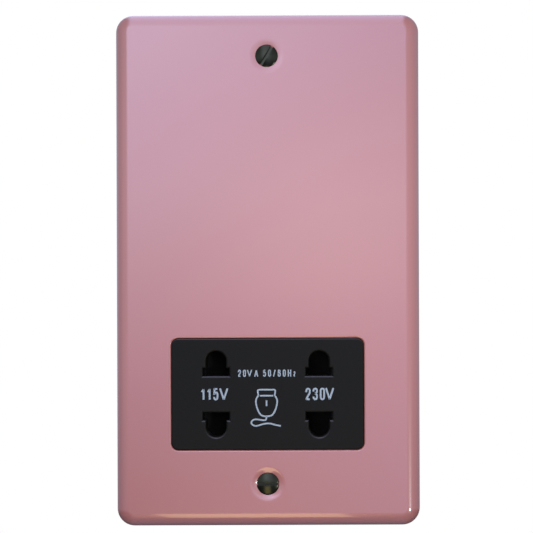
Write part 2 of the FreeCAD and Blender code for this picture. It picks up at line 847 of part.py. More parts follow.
def switch_plunger():
    z = face_z + switch_plunger_z
    end = plunger_tip_y + plunger_length
    x0 = -switch_x - plunger_half_width
    x1 = -switch_x + plunger_half_width
    z0 = z - plunger_half_length
    z1 = z + plunger_half_length
    dome_y = plunger_tip_y + plunger_tip_r
    body = box(x0, x1, dome_y, end, z0, z1)
    dome = rod_z(-switch_x, dome_y, plunger_tip_r, z0, z1)
    return join(body, dome.common(box(x0, x1, plunger_tip_y, end, z0, z1)))


def switch_tags():
    y0 = cell_y + switch_gap + switch_height
    tags = []
    for x, z in switch_tag_places():
        tags.append(
            box(
                x - tag_thickness / 2, x + tag_thickness / 2, y0, carrier_back_y + tag_length,
                z - tag_half_width, z + tag_half_width,
            )
        )
    return tags


# Transformer

def transformer_core():
    """The stack of E and I laminations, with a window each side of the middle leg."""
    core = box(
        -core_half_width, core_half_width, core_front_y, core_rear_y,
        core_z - core_half_height, core_z + core_half_height,
    )
    outer_leg = core_half_width - core_leg_half
    for side in (-1, 1):
        window = box(
            side * core_leg_half, side * outer_leg, core_front_y - 1, core_rear_y + 1,
            core_z - core_window_half_z, core_z + core_window_half_z,
        )
        core = core.cut(window)
    for x, z in four_corners(core_hole_x, core_hole_z, core_z):
        core = core.cut(rod_y(x, z, core_hole_r, core_front_y - 1, core_rear_y + 1))
    return core


def ring_z(inner_x, inner_y, outer_x, outer_y, r, z0, z1):
    """A rectangular ring about the middle leg, with rounded outer corners."""
    outer = box(-outer_x, outer_x, core_y - outer_y, core_y + outer_y, z0, z1)
    if r > 0:
        uprights = [e for e in outer.Edges if abs(e.Vertexes[0].Z - e.Vertexes[-1].Z) > 1e-6]
        outer = outer.makeFillet(r, uprights)
    return outer.cut(box(-inner_x, inner_x, core_y - inner_y, core_y + inner_y, z0 - 1, z1 + 1))


def transformer_bobbin():
    """A split bobbin: a tube with three flanges and a tag block at each end."""
    in_x = core_leg_half + bobbin_gap
    in_y = core_half_stack + bobbin_gap
    end = core_window_half_z - bobbin_gap
    pieces = [ring_z(in_x, in_y, in_x + bobbin_wall, in_y + bobbin_wall, 0, core_z - end, core_z + end)]
    flange = (in_x, in_y, bobbin_flange_half_x, bobbin_flange_half_y, bobbin_flange_r)
    for z0 in (core_z - end, core_z - bobbin_flange / 2, core_z + end - bobbin_flange):
        pieces.append(ring_z(*flange, z0, z0 + bobbin_flange))
    front = core_y - bobbin_flange_half_y
    for side in (-1, 1):
        z0 = core_z + side * (end - 0.5)
        z1 = core_z + side * (end + tag_block_height)
        pieces.append(box(-tag_block_half, tag_block_half, front + 1, front + 1 + tag_block_depth, z0, z1))
    return join(*pieces)


def winding_span(side):
    """Lowest and highest Z of one half of the bobbin, between its flanges."""
    end = core_window_half_z - bobbin_gap
    near = bobbin_flange / 2 + winding_gap
    far = end - bobbin_flange - winding_gap
    return sorted((core_z + side * near, core_z + side * far))


def winding(side):
    z0, z1 = winding_span(side)
    inner_x = core_leg_half + bobbin_gap + bobbin_wall + winding_gap
    inner_y = core_half_stack + bobbin_gap + bobbin_wall + winding_gap
    return ring_z(inner_x, inner_y, winding_half_x, winding_half_y, winding_corner_r, z0, z1)


def winding_tape(side):
    z0, z1 = winding_span(side)
    half_x = winding_half_x + tape_thickness
    half_y = winding_half_y + tape_thickness
    wrap = box(-half_x, half_x, core_y - half_y, core_y + half_y, z0, z1)
    uprights = [e for e in wrap.Edges if abs(e.Vertexes[0].Z - e.Vertexes[-1].Z) > 1e-6]
    wrap = wrap.makeFillet(winding_corner_r + tape_thickness, uprights)
    core = box(
        -winding_half_x, winding_half_x, core_y - winding_half_y, core_y + winding_half_y, z0 - 1, z1 + 1
    )
    uprights = [e for e in core.Edges if abs(e.Vertexes[0].Z - e.Vertexes[-1].Z) > 1e-6]
    return wrap.cut(core.makeFillet(winding_corner_r, uprights))


def bobbin_tag_places():
    """Middle (x, y) and the end heights of each solder tag on the bobbin."""
    y = core_y - bobbin_flange_half_y + 1 + tag_block_depth / 2
    root = core_window_half_z - bobbin_gap + tag_block_height
    places = []
    for side in (-1, 1):
        for i in (-1, 0, 1):
            z0 = core_z + side * root
            places.append((i * bobbin_tag_pitch, y, z0, z0 + side * bobbin_tag_length))
    return places


def bobbin_tags():
    h = bobbin_tag_half
    return [box(x - h, x + h, y - h, y + h, z0, z1) for x, y, z0, z1 in bobbin_tag_places()]


def thermal_cutout():
    """The bimetal cut-out that lies on the primary winding."""
    z0, z1 = winding_span(1)
    back = core_y - winding_half_y - tape_thickness
    mid = (z0 + z1) / 2
    front = back - cutout_thickness
    body = box(
        -cutout_half_width, cutout_half_width, front, back,
        mid - cutout_half_height, mid + cutout_half_height,
    )
    return body.makeFillet(cutout_edge_r, on_plane(body, front, lambda c: True))


# Rear housing

def stepped(inset, y0, y1):
    """The case outline run back to its rear wall, less the recess for the terminal strip."""
    body = footprint(inset, y0, y1 - inset)
    low_z = -case_height
    return body.cut(box(-case_width, case_width, recess_back_y - inset, y1 + 1, recess_top_z + inset, low_z))


def vent(side, z):
    x0 = side * (case_width / 2 - case_wall - 1)
    x1 = side * (case_width / 2 + 1)
    half_y = vent_length / 2
    half_z = vent_width / 2
    return box(x0, x1, core_y - half_y, core_y + half_y, z - half_z, z + half_z)


def rear_housing():
    body = stepped(0, flange_back_y, case_back_y)
    body = body.makeFillet(case_back_edge_r, on_plane(body, case_back_y, lambda c: True))
    body = body.cut(stepped(case_wall, flange_back_y - 1, case_back_y))
    inner_back = case_back_y - case_wall
    grown = []
    for x, z in four_corners(case_screw_x, case_screw_z):
        end = inner_back if z > 0 else recess_back_y - case_wall
        grown.append(rod_y(x, z, case_tower_r, case_boss_top_y, end + 0.5))
    posts = four_corners(core_hole_x, core_hole_z, core_z)
    grown += [rod_y(x, z, core_post_r, core_rear_y, inner_back + 0.5) for x, z in posts]
    spigot_y = core_rear_y - core_spigot_length
    grown += [rod_y(x, z, core_spigot_r, spigot_y, core_rear_y + 0.5) for x, z in posts]
    boss_y = recess_back_y - case_wall - strip_boss_length
    grown += [rod_y(x, z, strip_boss_r, boss_y, recess_back_y - 0.5) for x, z in strip_screw_places()]
    grown = [g.common(footprint(case_wall / 2, flange_back_y, case_back_y)) for g in grown]
    body = join(body, *grown)
    well_r = case_screw_head_r + case_screw_gap
    shank_hole_r = case_screw_shank_r + case_screw_gap
    for x, z in four_corners(case_screw_x, case_screw_z):
        body = body.cut(rod_y(x, z, well_r, case_screw_seat_y, case_back_y + 1))
        body = body.cut(rod_y(x, z, shank_hole_r, 0, case_screw_seat_y + 1))
    for i in range(vent_count):
        z = core_z + (i - (vent_count - 1) / 2) * vent_pitch
        for side in (-1, 1):
            body = body.cut(vent(side, z))
    lead_end_z = recess_top_z + case_wall + 1
    for i in range(3):
        body = body.cut(rod_z(pole_x(i), barrel_y, lead_hole_r, recess_top_z - 1, lead_end_z))
    for x, z in strip_screw_places():
        body = body.cut(rod_y(x, z, clamp_screw_r + thread_gap, boss_y - 1, recess_back_y + 1))
    return body


def case_screws():
    sizes = (case_screw_shank_r, case_screw_length, case_screw_head_r, case_screw_head_h)
    places = four_corners(case_screw_x, case_screw_z)
    return [pan_screw(x, z, case_screw_seat_y, *sizes) for x, z in places]


# Terminal strip

def pole_x(i):
    return (i - 1) * pole_pitch


def clamp_places():
    return [(pole_x(i), strip_mid_z + s * clamp_screw_offset) for i in range(3) for s in (1, -1)]


def strip_screw_places():
    return [(s * pole_pitch / 2, strip_mid_z) for s in (-1, 1)]


def terminal_block():
    """A three-pole terminal strip: a slab with a round tower over each clamping screw."""
    z0 = strip_mid_z - strip_length / 2
    z1 = strip_mid_z + strip_length / 2
    top = recess_back_y + strip_height
    slab_y = recess_back_y + strip_slab
    body = box(-strip_half_width, strip_half_width, recess_back_y, slab_y, z0, z1)
    towers = [rod_y(x, z, chimney_r, recess_back_y + 1, top) for x, z in clamp_places()]
    body = join(body, *towers)
    half = barrel_length / 2 + barrel_gap
    seat_r = barrel_r + barrel_gap
    for i in range(3):
        x = pole_x(i)
        body = body.cut(rod_z(x, barrel_y, seat_r, strip_mid_z - half, strip_mid_z + half))
        body = body.cut(rod_z(x, barrel_y, wire_entry_r, z0 - 1, z1 + 1))
    for x, z in clamp_places():
        body = body.cut(rod_y(x, z, chimney_bore_r, barrel_y, top + 1))
    hole_r = clamp_screw_r + case_screw_gap
    for x, z in strip_screw_places():
        body = body.cut(rod_y(x, z, hole_r, recess_back_y - 1, slab_y + 1))
    return body


def terminal_barrel(i):
    """A brass barrel, bored from each end, with two tapped holes for its clamping screws."""
    x = pole_x(i)
    half = barrel_length / 2
    body = rod_z(x, barrel_y, barrel_r, strip_mid_z - half, strip_mid_z + half)
    for side in (-1, 1):
        end = strip_mid_z + side * half
        body = body.cut(rod_z(x, barrel_y, wire_bore_r, end - side * wire_bore_length, end + side))
        z = strip_mid_z + side * clamp_screw_offset
        body = body.cut(rod_y(x, z, clamp_screw_r + thread_gap, barrel_y, barrel_y + barrel_r + 1))
    return body


def slotted_screw(x, z, tip_y, seat_y):
    """A slotted cheese-head screw, with its head towards the back."""
    top_y = seat_y + clamp_head_h
    floor_y = seat_y + slot_floor_share * clamp_head_h
    shank = rod_y(x, z, clamp_screw_r, tip_y, floor_y)
    head = rod_y(x, z, clamp_head_r, seat_y, top_y)
    head = head.makeChamfer(slotted_edge, on_plane(head, top_y, lambda c: True))
    slot = box(x - clamp_head_r, x + clamp_head_r, floor_y, top_y + 1, z - slot_half, z + slot_half)
    return join(head, shank).cut(slot)


def clamp_screws():
    tip = barrel_y + wire_bore_r + clamp_clear
    seat = recess_back_y + strip_height - clamp_head_h - clamp_clear
    return [slotted_screw(x, z, tip, seat) for x, z in clamp_places()]


def strip_screws():
    """Two screws that hold the terminal strip in its recess."""
    seat = recess_back_y + strip_slab
    tip = seat - strip_screw_length
    return [slotted_screw(x, z, tip, seat) for x, z in strip_screw_places()]


def build():
    top, bottom = fixing_points()
    parts = {
        "front_plate": front_plate(),
        "fixing_screw_top": fixing_screw(top, fixing_slot_angle_top),
        "fixing_screw_bottom": fixing_screw(bottom, fixing_slot_angle_bottom),
        "plate_studs": plate_studs(),
        "stud_nuts": stud_nuts(),
        "earth_tag": earth_tag(),
        "front_moulding": front_moulding(),
        "contact_carrier": contact_carrier(),
        "contact_retainer": contact_retainer(),
        "module_screws": module_screws(),
        "transformer_core": transformer_core(),
        "transformer_bobbin": transformer_bobbin(),
        "primary_winding": winding(1),
        "secondary_winding": winding(-1),
        "primary_tape": winding_tape(1),
        "secondary_tape": winding_tape(-1),
        "bobbin_tags": bobbin_tags(),
        "thermal_cutout": thermal_cutout(),
        "rear_housing": rear_housing(),
        "case_screws": case_screws(),
        "terminal_block": terminal_block(),
        "terminal_live": terminal_barrel(0),
        "terminal_earth": terminal_barrel(1),
        "terminal_neutral": terminal_barrel(2),
        "clamp_screws": clamp_screws(),
        "strip_screws": strip_screws(),
    }
    paired = {
        "shutter": shutter(),
        "shutter_spring": shutter_spring(),
        "switch_body": switch_body(),
        "switch_plunger": switch_plunger(),
    }
    for name, shape in paired.items():
        parts[name + "_115v"] = shape
        parts[name + "_230v"] = half_turn(shape)
    tags = switch_tags()
    parts["switch_tags_115v"] = tags
    parts["switch_tags_230v"] = [half_turn(t) for t in tags]
    parts["contact_115v_upper"] = contact(1)
    parts["contact_115v_lower"] = contact(-1)
    parts["contact_230v_lower"] = half_turn(parts["contact_115v_upper"])
    parts["contact_230v_upper"] = half_turn(parts["contact_115v_lower"])
    return parts


def write(parts):
    os.makedirs("parts", exist_ok=True)
    for name, shape in parts.items():
        solids = shape if isinstance(shape, list) else shape.Solids
        whole = Part.makeCompound(solids) if len(solids) > 1 else solids[0]
        whole.exportStep("parts/" + name + ".step")
        sound = all(s.isValid() and s.Volume > 0 for s in solids)
        print(f"{name}: {len(solids)} solid(s), {sum(s.Volume for s in solids):.1f} mm3, sound {sound}")


write(build())
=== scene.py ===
"""A dual-voltage shaver socket: its pressed plate, finishes, printing, threads, springs and a plain studio.

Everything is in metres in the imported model's own frame: X to the right of the plate, Y back into the
wall and Z up, with the origin on the wall's surface midway between the two fixing screws.
"""

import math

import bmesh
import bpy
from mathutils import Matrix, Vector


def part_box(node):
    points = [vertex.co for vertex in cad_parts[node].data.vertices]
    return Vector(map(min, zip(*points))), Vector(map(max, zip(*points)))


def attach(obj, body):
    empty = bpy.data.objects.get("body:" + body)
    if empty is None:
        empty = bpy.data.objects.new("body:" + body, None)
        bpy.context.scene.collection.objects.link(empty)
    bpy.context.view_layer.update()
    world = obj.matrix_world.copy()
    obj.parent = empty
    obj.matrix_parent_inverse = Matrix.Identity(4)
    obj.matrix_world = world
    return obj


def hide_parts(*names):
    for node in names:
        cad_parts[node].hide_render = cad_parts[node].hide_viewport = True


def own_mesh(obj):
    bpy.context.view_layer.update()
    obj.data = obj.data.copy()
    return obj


bl_info = {
    "name": "Shaver Socket",
    "version": (1, 0, 0),
    "blender": (4, 5, 0),
    "location": "3D View > Sidebar > Shaver Socket",
    "description": "Plate, finishes, printing, threads and studio for a dual-voltage shaver socket",
    "category": "Object",
}

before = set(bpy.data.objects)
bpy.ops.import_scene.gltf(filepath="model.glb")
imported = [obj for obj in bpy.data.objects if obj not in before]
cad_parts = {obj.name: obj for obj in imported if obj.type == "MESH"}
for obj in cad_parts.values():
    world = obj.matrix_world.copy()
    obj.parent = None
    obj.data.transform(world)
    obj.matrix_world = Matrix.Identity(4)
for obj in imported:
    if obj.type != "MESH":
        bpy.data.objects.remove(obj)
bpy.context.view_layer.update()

MM = 0.001
PLATE_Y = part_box("front_plate")[0].y
FACE_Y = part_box("front_moulding")[0].y
OUTLET_Z = sum(c.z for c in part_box("shutter_115v")) / 2
HEAD_R = 3.2 * MM        # the seat of a fixing screw's head
HOLE_R = 1.95 * MM       # the hole for its shank
FACE_SHEEN = 0.13        # specular level of the moulded face
ROUND = 96               # steps in a turned piece
CLOSE = 1e-6             # points nearer than this are in one place


# Colours, nodes and pieces

def linear(hex_colour):
    """Linear RGBA from an sRGB hex string such as #C8A0B0."""
    channels = [int(hex_colour[i:i + 2], 16) / 255 for i in (1, 3, 5)]
    return [c / 12.92 if c <= 0.04045 else ((c + 0.055) / 1.055) ** 2.4 for c in channels] + [1.0]


def colour_property(name, description, hex_colour):
    return bpy.props.FloatVectorProperty(
        name=name, description=description, subtype="COLOR", size=4, min=0.0, max=1.0,
        default=linear(hex_colour),
    )


def length_property(name, description, millimetres):
    return bpy.props.FloatProperty(
        name=name, description=description, default=millimetres * MM, subtype="DISTANCE", unit="LENGTH",
        precision=5,
    )


def angle_property(name, description, degrees):
    return bpy.props.FloatProperty(
        name=name, description=description, default=math.radians(degrees), subtype="ANGLE", unit="ROTATION"
    )


def add_node(tree, kind, settings=None, **links):
    """Adds a node, sets its properties or sockets, and links sockets given as (node, output name)."""
    node = tree.nodes.new(kind)
    for key, value in (settings or {}).items():
        if key in node.inputs:
            node.inputs[key].default_value = value
        else:
            setattr(node, key, value)
    for key, (source, output) in links.items():
        tree.links.new(source.outputs[output], node.inputs[key.replace("_", " ")])
    return node


def new_material(name):
    material = bpy.data.materials.new(name)
    material.use_nodes = True
    material.node_tree.nodes.clear()
    return material, material.node_tree


def shaded(tree, colour, pattern, low, high):
    """A colour that a pattern's factor makes from low to high times as bright."""
    shade = add_node(tree, "ShaderNodeMapRange", {"To Min": low, "To Max": high}, Value=(pattern, "Fac"))
    return add_node(tree, "ShaderNodeHueSaturation", {"Color": list(colour)}, Value=(shade, "Result"))


def finish(material, *names):
    """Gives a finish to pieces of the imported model."""
    for name in names:
        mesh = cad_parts[name].data
        mesh.materials.clear()
        mesh.materials.append(material)


def linked_object(name, data):
    thing = bpy.data.objects.new(name, data)
    bpy.context.scene.collection.objects.link(thing)
    return thing


def mesh_of(name, bm):
    """The mesh of a closed bmesh, with its faces turned outwards. The bmesh is freed."""
    bmesh.ops.recalc_face_normals(bm, faces=bm.faces)
    mesh = bpy.data.meshes.new(name)
    bm.to_mesh(mesh)
    bm.free()
    return mesh


def new_piece(name, bm, material, slot, *replaced):
    """Makes a closed bmesh a smooth piece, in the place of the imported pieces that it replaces."""
    for face in bm.faces:
        face.smooth = True
    return place_mesh(name, mesh_of(name, bm), material, slot, *replaced)


def place_mesh(name, mesh, material, slot, *replaced):
    """Makes a mesh a piece that rides on the socket and has a finish."""
    piece = linked_object(name, mesh)
    mesh.materials.clear()
    mesh.materials.append(material)
    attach(piece, "root")
    if replaced:
        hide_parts(*replaced)
    return piece


def blank_object(name, bm):
    """A closed bmesh as an object that modifiers can work on."""
    return linked_object(name, mesh_of(name, bm))


def join_or_cut(blank, tool, operation):
    """Adds a step that joins a tool to a blank or cuts it out of it."""
    step = blank.modifiers.new(tool.name, "BOOLEAN")
    step.operation, step.solver, step.object = operation, "EXACT", tool


def verts_of(geometry):
    return [v for v in geometry if isinstance(v, bmesh.types.BMVert)]


def evaluated_mesh(source, name):
    """The mesh that an object's curve or modifiers give. The object is removed."""
    bpy.context.view_layer.update()
    mesh = bpy.data.meshes.new_from_object(source.evaluated_get(bpy.context.evaluated_depsgraph_get()))
    mesh.name = name
    bpy.data.objects.remove(source)
    return mesh


# Settings

class PlateSettings(bpy.types.PropertyGroup):
    enamel: colour_property("Enamel", "Colour of the stoved enamel on the front plate", "#9A6058")
    peel: length_property("Ripple", "Spacing of the faint ripple in the enamel", 2.2)
    height: length_property("Height", "Height of the front plate", 145.0)
    corner: length_property("Corner", "Radius of the plate's four corners", 5.0)
    roll: length_property("Roll", "Radius that the plate's edge is rolled to", 4.0)
    sheet: length_property("Sheet", "Thickness of the sheet", 1.2)
    window_width: length_property("Window width", "Width of the window for the face", 54.3)
    window_height: length_property("Window height", "Height of the window for the face", 31.5)
    window_corner: length_property("Window corner", "Radius of the window's corners", 2.0)
    window_lip: length_property("Window lip", "Rounding of the window's edge", 0.5)
    dimple: length_property("Dimple", "Radius at which the dimples round the screws begin", 5.1)
    flare: length_property("Flare", "Width of a dimple's curved border", 1.7)
    slope_top: angle_property("Slope at the top screw", "Fall of the plate round the upper screw", 8.5)
    slope_bottom: angle_property("Slope at the bottom screw", "Fall of the plate round the lower screw", 20.0)


class FaceSettings(bpy.types.PropertyGroup):
    moulding: colour_property("Moulding", "Colour of the moulded face", "#0B0D08")
    ink: colour_property("Ink", "Colour of the printing on the face", "#8B9CA2")
    grain: length_property("Grain", "Grain of the moulded face", 0.45)
    figure_height: length_property("Figures", "Height of the voltage figures", 3.55)
    figure_line: length_property("Figures' line", "Width of the voltage figures' lines", 0.58)
    note_height: length_property("Rating", "Height of the rating between the upper apertures", 2.05)
    note_line: length_property("Rating's line", "Width of the rating's lines", 0.36)
    symbol_line: length_property("Symbol's line", "Width of the symbol's lines", 0.5)
    ink_depth: length_property("Ink thickness", "Thickness of the printed ink", 0.03)


class ScrewSettings(bpy.types.PropertyGroup):
    nickel: colour_property("Dark nickel", "Colour of the plated fixing screws", "#303329")
    dome: length_property("Dome", "Height of the raised head above its rim", 0.6)
    slot: length_property("Slot", "Depth of the slot below the top of the head", 0.88)
    pitch: length_property("Thread pitch", "Pitch of the fixing screws' thread", 0.6)
    edge: length_property("Edge", "Rounding of the slot's and the head's edges", 0.07)


class InsideSettings(bpy.types.PropertyGroup):
    housing: colour_property("Housing", "Colour of the rear housing", "#212123")
    nylon: colour_property("Nylon", "Colour of the natural nylon mouldings", "#DDD9CB")
    copper: colour_property("Winding wire", "Colour of the enamelled copper", "#B45E34")
    tape: colour_property("Tape", "Colour of the winding tape", "#E2C136")
    plunger: colour_property("Plunger", "Colour of the switch plungers", "#A81A15")
    brass: colour_property("Brass", "Colour of the contacts and barrels", "#CBA35A")
    lamination: length_property("Lamination", "Thickness of one lamination", 0.5)


class StudioSettings(bpy.types.PropertyGroup):
    distance: length_property("Camera distance", "Distance from the camera to the plate's face", 345.0)
    aside: length_property("Camera to the right", "How far right of the plate's middle the camera is", 21.0)
    drop: length_property("Camera drop", "How far below the plate's middle the camera is", 12.0)
    picture: length_property("Picture width", "Width that the picture takes in at the plate's face", 150.1)
    right: length_property("Picture to the right", "How far right of its middle the plate is", 0.235)
    lift: length_property("Picture up", "How far above its middle the plate is", -0.86)
    turn: angle_property("Camera roll", "Turn of the camera about its own line of sight", 0.2)
    floor_drop: length_property("Floor", "How far below the plate's middle the floor is", 260.0)
    floor: colour_property("Floor colour", "Colour of the floor", "#F7F6F4")


# Finishes

def enamel_pink(settings):
    """Stoved enamel on pressed steel: an even pink under a hard, clear gloss that ripples very slightly."""
    material, tree = new_material("stoved_enamel_pink")
    place = add_node(tree, "ShaderNodeTexCoord")
    drift = add_node(
        tree, "ShaderNodeTexNoise", {"Scale": 1 / (40 * MM), "Detail": 2.0}, Vector=(place, "Object")
    )
    tone = shaded(tree, settings.enamel, drift, 0.985, 1.015)
    peel = add_node(
        tree, "ShaderNodeTexNoise", {"Scale": 1 / settings.peel, "Detail": 1.0}, Vector=(place, "Object")
    )
    bump = add_node(
        tree, "ShaderNodeBump", {"Strength": 0.05, "Distance": 0.02 * MM}, Height=(peel, "Fac")
    )
    shader = add_node(
        tree, "ShaderNodeBsdfPrincipled",
        {"Roughness": 0.3, "IOR": 1.6, "Coat Weight": 1.0, "Coat Roughness": 0.07, "Coat IOR": 1.6},
        Base_Color=(tone, "Color"), Normal=(bump, "Normal"), Coat_Normal=(bump, "Normal"),
    )
    add_node(tree, "ShaderNodeOutputMaterial", Surface=(shader, "BSDF"))
    return material


def moulded_plastic(name, colour, roughness, grain, depth, sheen=0.5):
    """Moulded plastic: one colour all through, its tool's grain, and a gloss that drifts with the flow."""
    material, tree = new_material(name)
    place = add_node(tree, "ShaderNodeTexCoord")
    spark = add_node(
        tree, "ShaderNodeTexNoise", {"Scale": 1 / grain, "Detail": 3.0, "Roughness": 0.6},
        Vector=(place, "Object"),
    )
    flow = add_node(
        tree, "ShaderNodeTexNoise", {"Scale": 1 / (14 * MM), "Detail": 2.0}, Vector=(place, "Object")
    )
    tone = shaded(tree, colour, spark, 0.9, 1.1)
    gloss = add_node(
        tree, "ShaderNodeMapRange", {"To Min": roughness - 0.06, "To Max": roughness + 0.06},
        Value=(flow, "Fac"),
    )
    bump = add_node(tree, "ShaderNodeBump", {"Strength": 0.35, "Distance": depth}, Height=(spark, "Fac"))
    shader = add_node(
        tree, "ShaderNodeBsdfPrincipled", {"IOR": 1.5, "Specular IOR Level": sheen},
        Base_Color=(tone, "Color"), Roughness=(gloss, "Result"), Normal=(bump, "Normal"),
    )
    add_node(tree, "ShaderNodeOutputMaterial", Surface=(shader, "BSDF"))
    return material


def paint_sheen_on_upward_faces(material):
    """Painted sheen: the moulding's surfaces that face up get a higher specular level, so each aperture has a
    painted highlight line along its lower edge.
    """
    tree = material.node_tree
    surface = add_node(tree, "ShaderNodeNewGeometry")
    facing = add_node(tree, "ShaderNodeSeparateXYZ", Vector=(surface, "Normal"))
    # The specular level rises as a surface turns to face up: a painted highlight on the up-facing lips.
    stain_and_painted_sheen = add_node(
        tree, "ShaderNodeMapRange", {"From Min": 0.1, "From Max": 0.6, "To Min": FACE_SHEEN, "To Max": 0.7},
        Value=(facing, "Z"),
    )
    tree.links.new(stain_and_painted_sheen.outputs["Result"], tree.nodes["Principled BSDF"].inputs["Specular IOR Level"])


def plated_metal(name, colour, roughness, spot):
    """Plated or bare metal: tone and gloss change a little from place to place, as tumbling leaves them."""
    material, tree = new_material(name)
    place = add_node(tree, "ShaderNodeTexCoord")
    cloud = add_node(
        tree, "ShaderNodeTexNoise", {"Scale": 1 / spot, "Detail": 4.0, "Roughness": 0.65},
        Vector=(place, "Object"),
    )
    tone = shaded(tree, colour, cloud, 0.85, 1.15)
    gloss = add_node(
        tree, "ShaderNodeMapRange", {"To Min": roughness - 0.08, "To Max": roughness + 0.1},
        Value=(cloud, "Fac"),
    )
    bump = add_node(tree, "ShaderNodeBump", {"Strength": 0.15, "Distance": 0.01 * MM}, Height=(cloud, "Fac"))
    shader = add_node(
        tree, "ShaderNodeBsdfPrincipled", {"Metallic": 1.0},
        Base_Color=(tone, "Color"), Roughness=(gloss, "Result"), Normal=(bump, "Normal"),
    )
    add_node(tree, "ShaderNodeOutputMaterial", Surface=(shader, "BSDF"))
    return material


def lined_metal(name, colour, roughness, stretch, line):
    """Rolled, drawn or turned metal: fine lines along the work, bright to one side and dull to another."""
    material, tree = new_material(name)
    place = add_node(tree, "ShaderNodeTexCoord")
    along = add_node(tree, "ShaderNodeMapping", {"Scale": stretch}, Vector=(place, "Object"))
    lines = add_node(
        tree, "ShaderNodeTexNoise", {"Scale": 1 / line, "Detail": 2.0, "Roughness": 0.7},
        Vector=(along, "Vector"),
    )
    tone = shaded(tree, colour, lines, 0.8, 1.15)
    gloss = add_node(
        tree, "ShaderNodeMapRange", {"To Min": roughness - 0.08, "To Max": roughness + 0.1},
        Value=(lines, "Fac"),
    )
    bump = add_node(tree, "ShaderNodeBump", {"Strength": 0.3, "Distance": 0.01 * MM}, Height=(lines, "Fac"))
    shader = add_node(
        tree, "ShaderNodeBsdfPrincipled", {"Metallic": 1.0},
        Base_Color=(tone, "Color"), Roughness=(gloss, "Result"), Normal=(bump, "Normal"),
    )
    add_node(tree, "ShaderNodeOutputMaterial", Surface=(shader, "BSDF"))
    return material


def banded(name, dark, light, direction, pitch, depth, metallic, roughness):
    """A stack or a winding: bands of one pitch, from the dark colour to the light one. In a stack the dark
    bands are the joints between sheets; in a winding they are painted shade in the grooves between turns, and
    the light bands are the wire's own colour.
    """
    material, tree = new_material(name)
    place = add_node(tree, "ShaderNodeTexCoord")
    # A band texture at scale 1 has one band in pi / 10 of a unit.
    bands = add_node(
        tree, "ShaderNodeTexWave",
        {"bands_direction": direction, "Scale": math.pi / 10 / pitch, "Distortion": 0.0},
        Vector=(place, "Object"),
    )
    stain = add_node(
        tree, "ShaderNodeTexNoise", {"Scale": 1 / (6 * MM), "Detail": 4.0}, Vector=(place, "Object")
    )
    # For a winding, the dark colour is painted shade in the grooves between turns.
    tone = add_node(
        tree, "ShaderNodeMix", {"data_type": "RGBA", "A": list(dark), "B": list(light)}, Factor=(bands, "Fac")
    )
    shade = add_node(tree, "ShaderNodeMapRange", {"To Min": 0.8, "To Max": 1.15}, Value=(stain, "Fac"))
    stain_and_painted_sheen = add_node(tree, "ShaderNodeHueSaturation", Color=(tone, "Result"), Value=(shade, "Result"))
    bump = add_node(tree, "ShaderNodeBump", {"Strength": 0.6, "Distance": depth}, Height=(bands, "Fac"))
    shader = add_node(
        tree, "ShaderNodeBsdfPrincipled", {"Metallic": metallic, "Roughness": roughness},
        Base_Color=(stain_and_painted_sheen, "Color"), Normal=(bump, "Normal"),
    )
    add_node(tree, "ShaderNodeOutputMaterial", Surface=(shader, "BSDF"))
    return material


def film_tape(settings):
    """Polyester film tape: glossy yellow, a little see-through, with wrinkles where it was pulled round."""
    material, tree = new_material("yellow_film_tape")
    place = add_node(tree, "ShaderNodeTexCoord")
    along = add_node(tree, "ShaderNodeMapping", {"Scale": (0.35, 0.35, 1.0)}, Vector=(place, "Object"))
    wrinkle = add_node(
        tree, "ShaderNodeTexNoise", {"Scale": 1 / (1.8 * MM), "Detail": 3.0}, Vector=(along, "Vector")
    )
    tone = shaded(tree, settings.tape, wrinkle, 0.82, 1.1)
    bump = add_node(tree, "ShaderNodeBump", {"Strength": 0.5, "Distance": 0.08 * MM}, Height=(wrinkle, "Fac"))
    shader = add_node(
        tree, "ShaderNodeBsdfPrincipled", {"Roughness": 0.25, "IOR": 1.6},
        Base_Color=(tone, "Color"), Normal=(bump, "Normal"),
    )
    add_node(tree, "ShaderNodeOutputMaterial", Surface=(shader, "BSDF"))
    return material


def screen_ink(settings):
    """Screen-printed ink: flat and pale, slightly thinner in places, with no gloss of its own."""
    material, tree = new_material("screen_printed_ink")
    place = add_node(tree, "ShaderNodeTexCoord")
    mesh = add_node(
        tree, "ShaderNodeTexNoise", {"Scale": 1 / (0.35 * MM), "Detail": 2.0}, Vector=(place, "Object")
    )
    tone = shaded(tree, settings.ink, mesh, 0.85, 1.1)
    shader = add_node(
        tree, "ShaderNodeBsdfPrincipled", {"Roughness": 0.6, "IOR": 1.48}, Base_Color=(tone, "Color")
    )
    add_node(tree, "ShaderNodeOutputMaterial", Surface=(shader, "BSDF"))
    return material


# Stage

# Light of the room by the sine of its height above the level: the sine, red and green, blue. The first table
# is for the left of the object, the second for its right and the third for well to either side.
LEFT_OF_ROOM = [
    (-1.0, 0.069, 0.092), (-0.6, 0.046, 0.065), (-0.3, 0.042, 0.062), (-0.156, 0.054, 0.062),
    (-0.119, 0.104, 0.146), (-0.067, 0.142, 0.215), (-0.013, 0.238, 0.331), (0.034, 0.338, 0.438),
    (0.099, 0.462, 0.638), (0.163, 0.515, 0.746), (0.224, 0.646, 0.915), (0.4, 0.554, 0.792),
    (0.6, 0.462, 0.662), (1.0, 0.385, 0.577),
]
RIGHT_OF_ROOM = [
    (-1.0, 0.069, 0.092), (-0.6, 0.046, 0.065), (-0.3, 0.098, 0.141), (-0.156, 0.2, 0.295),
    (-0.119, 0.231, 0.342), (-0.067, 0.258, 0.365), (-0.013, 0.252, 0.372), (0.034, 0.312, 0.423),
    (0.099, 0.385, 0.5), (0.163, 0.362, 0.5), (0.224, 0.358, 0.554), (0.6, 0.346, 0.492),
    (1.0, 0.346, 0.523),
]
SIDES_OF_ROOM = [
    (-1.0, 0.035, 0.042), (-0.3, 0.035, 0.042), (-0.05, 0.18, 0.23), (0.1, 0.225, 0.28), (0.3, 0.155, 0.19),
    (1.0, 0.08, 0.1),
]


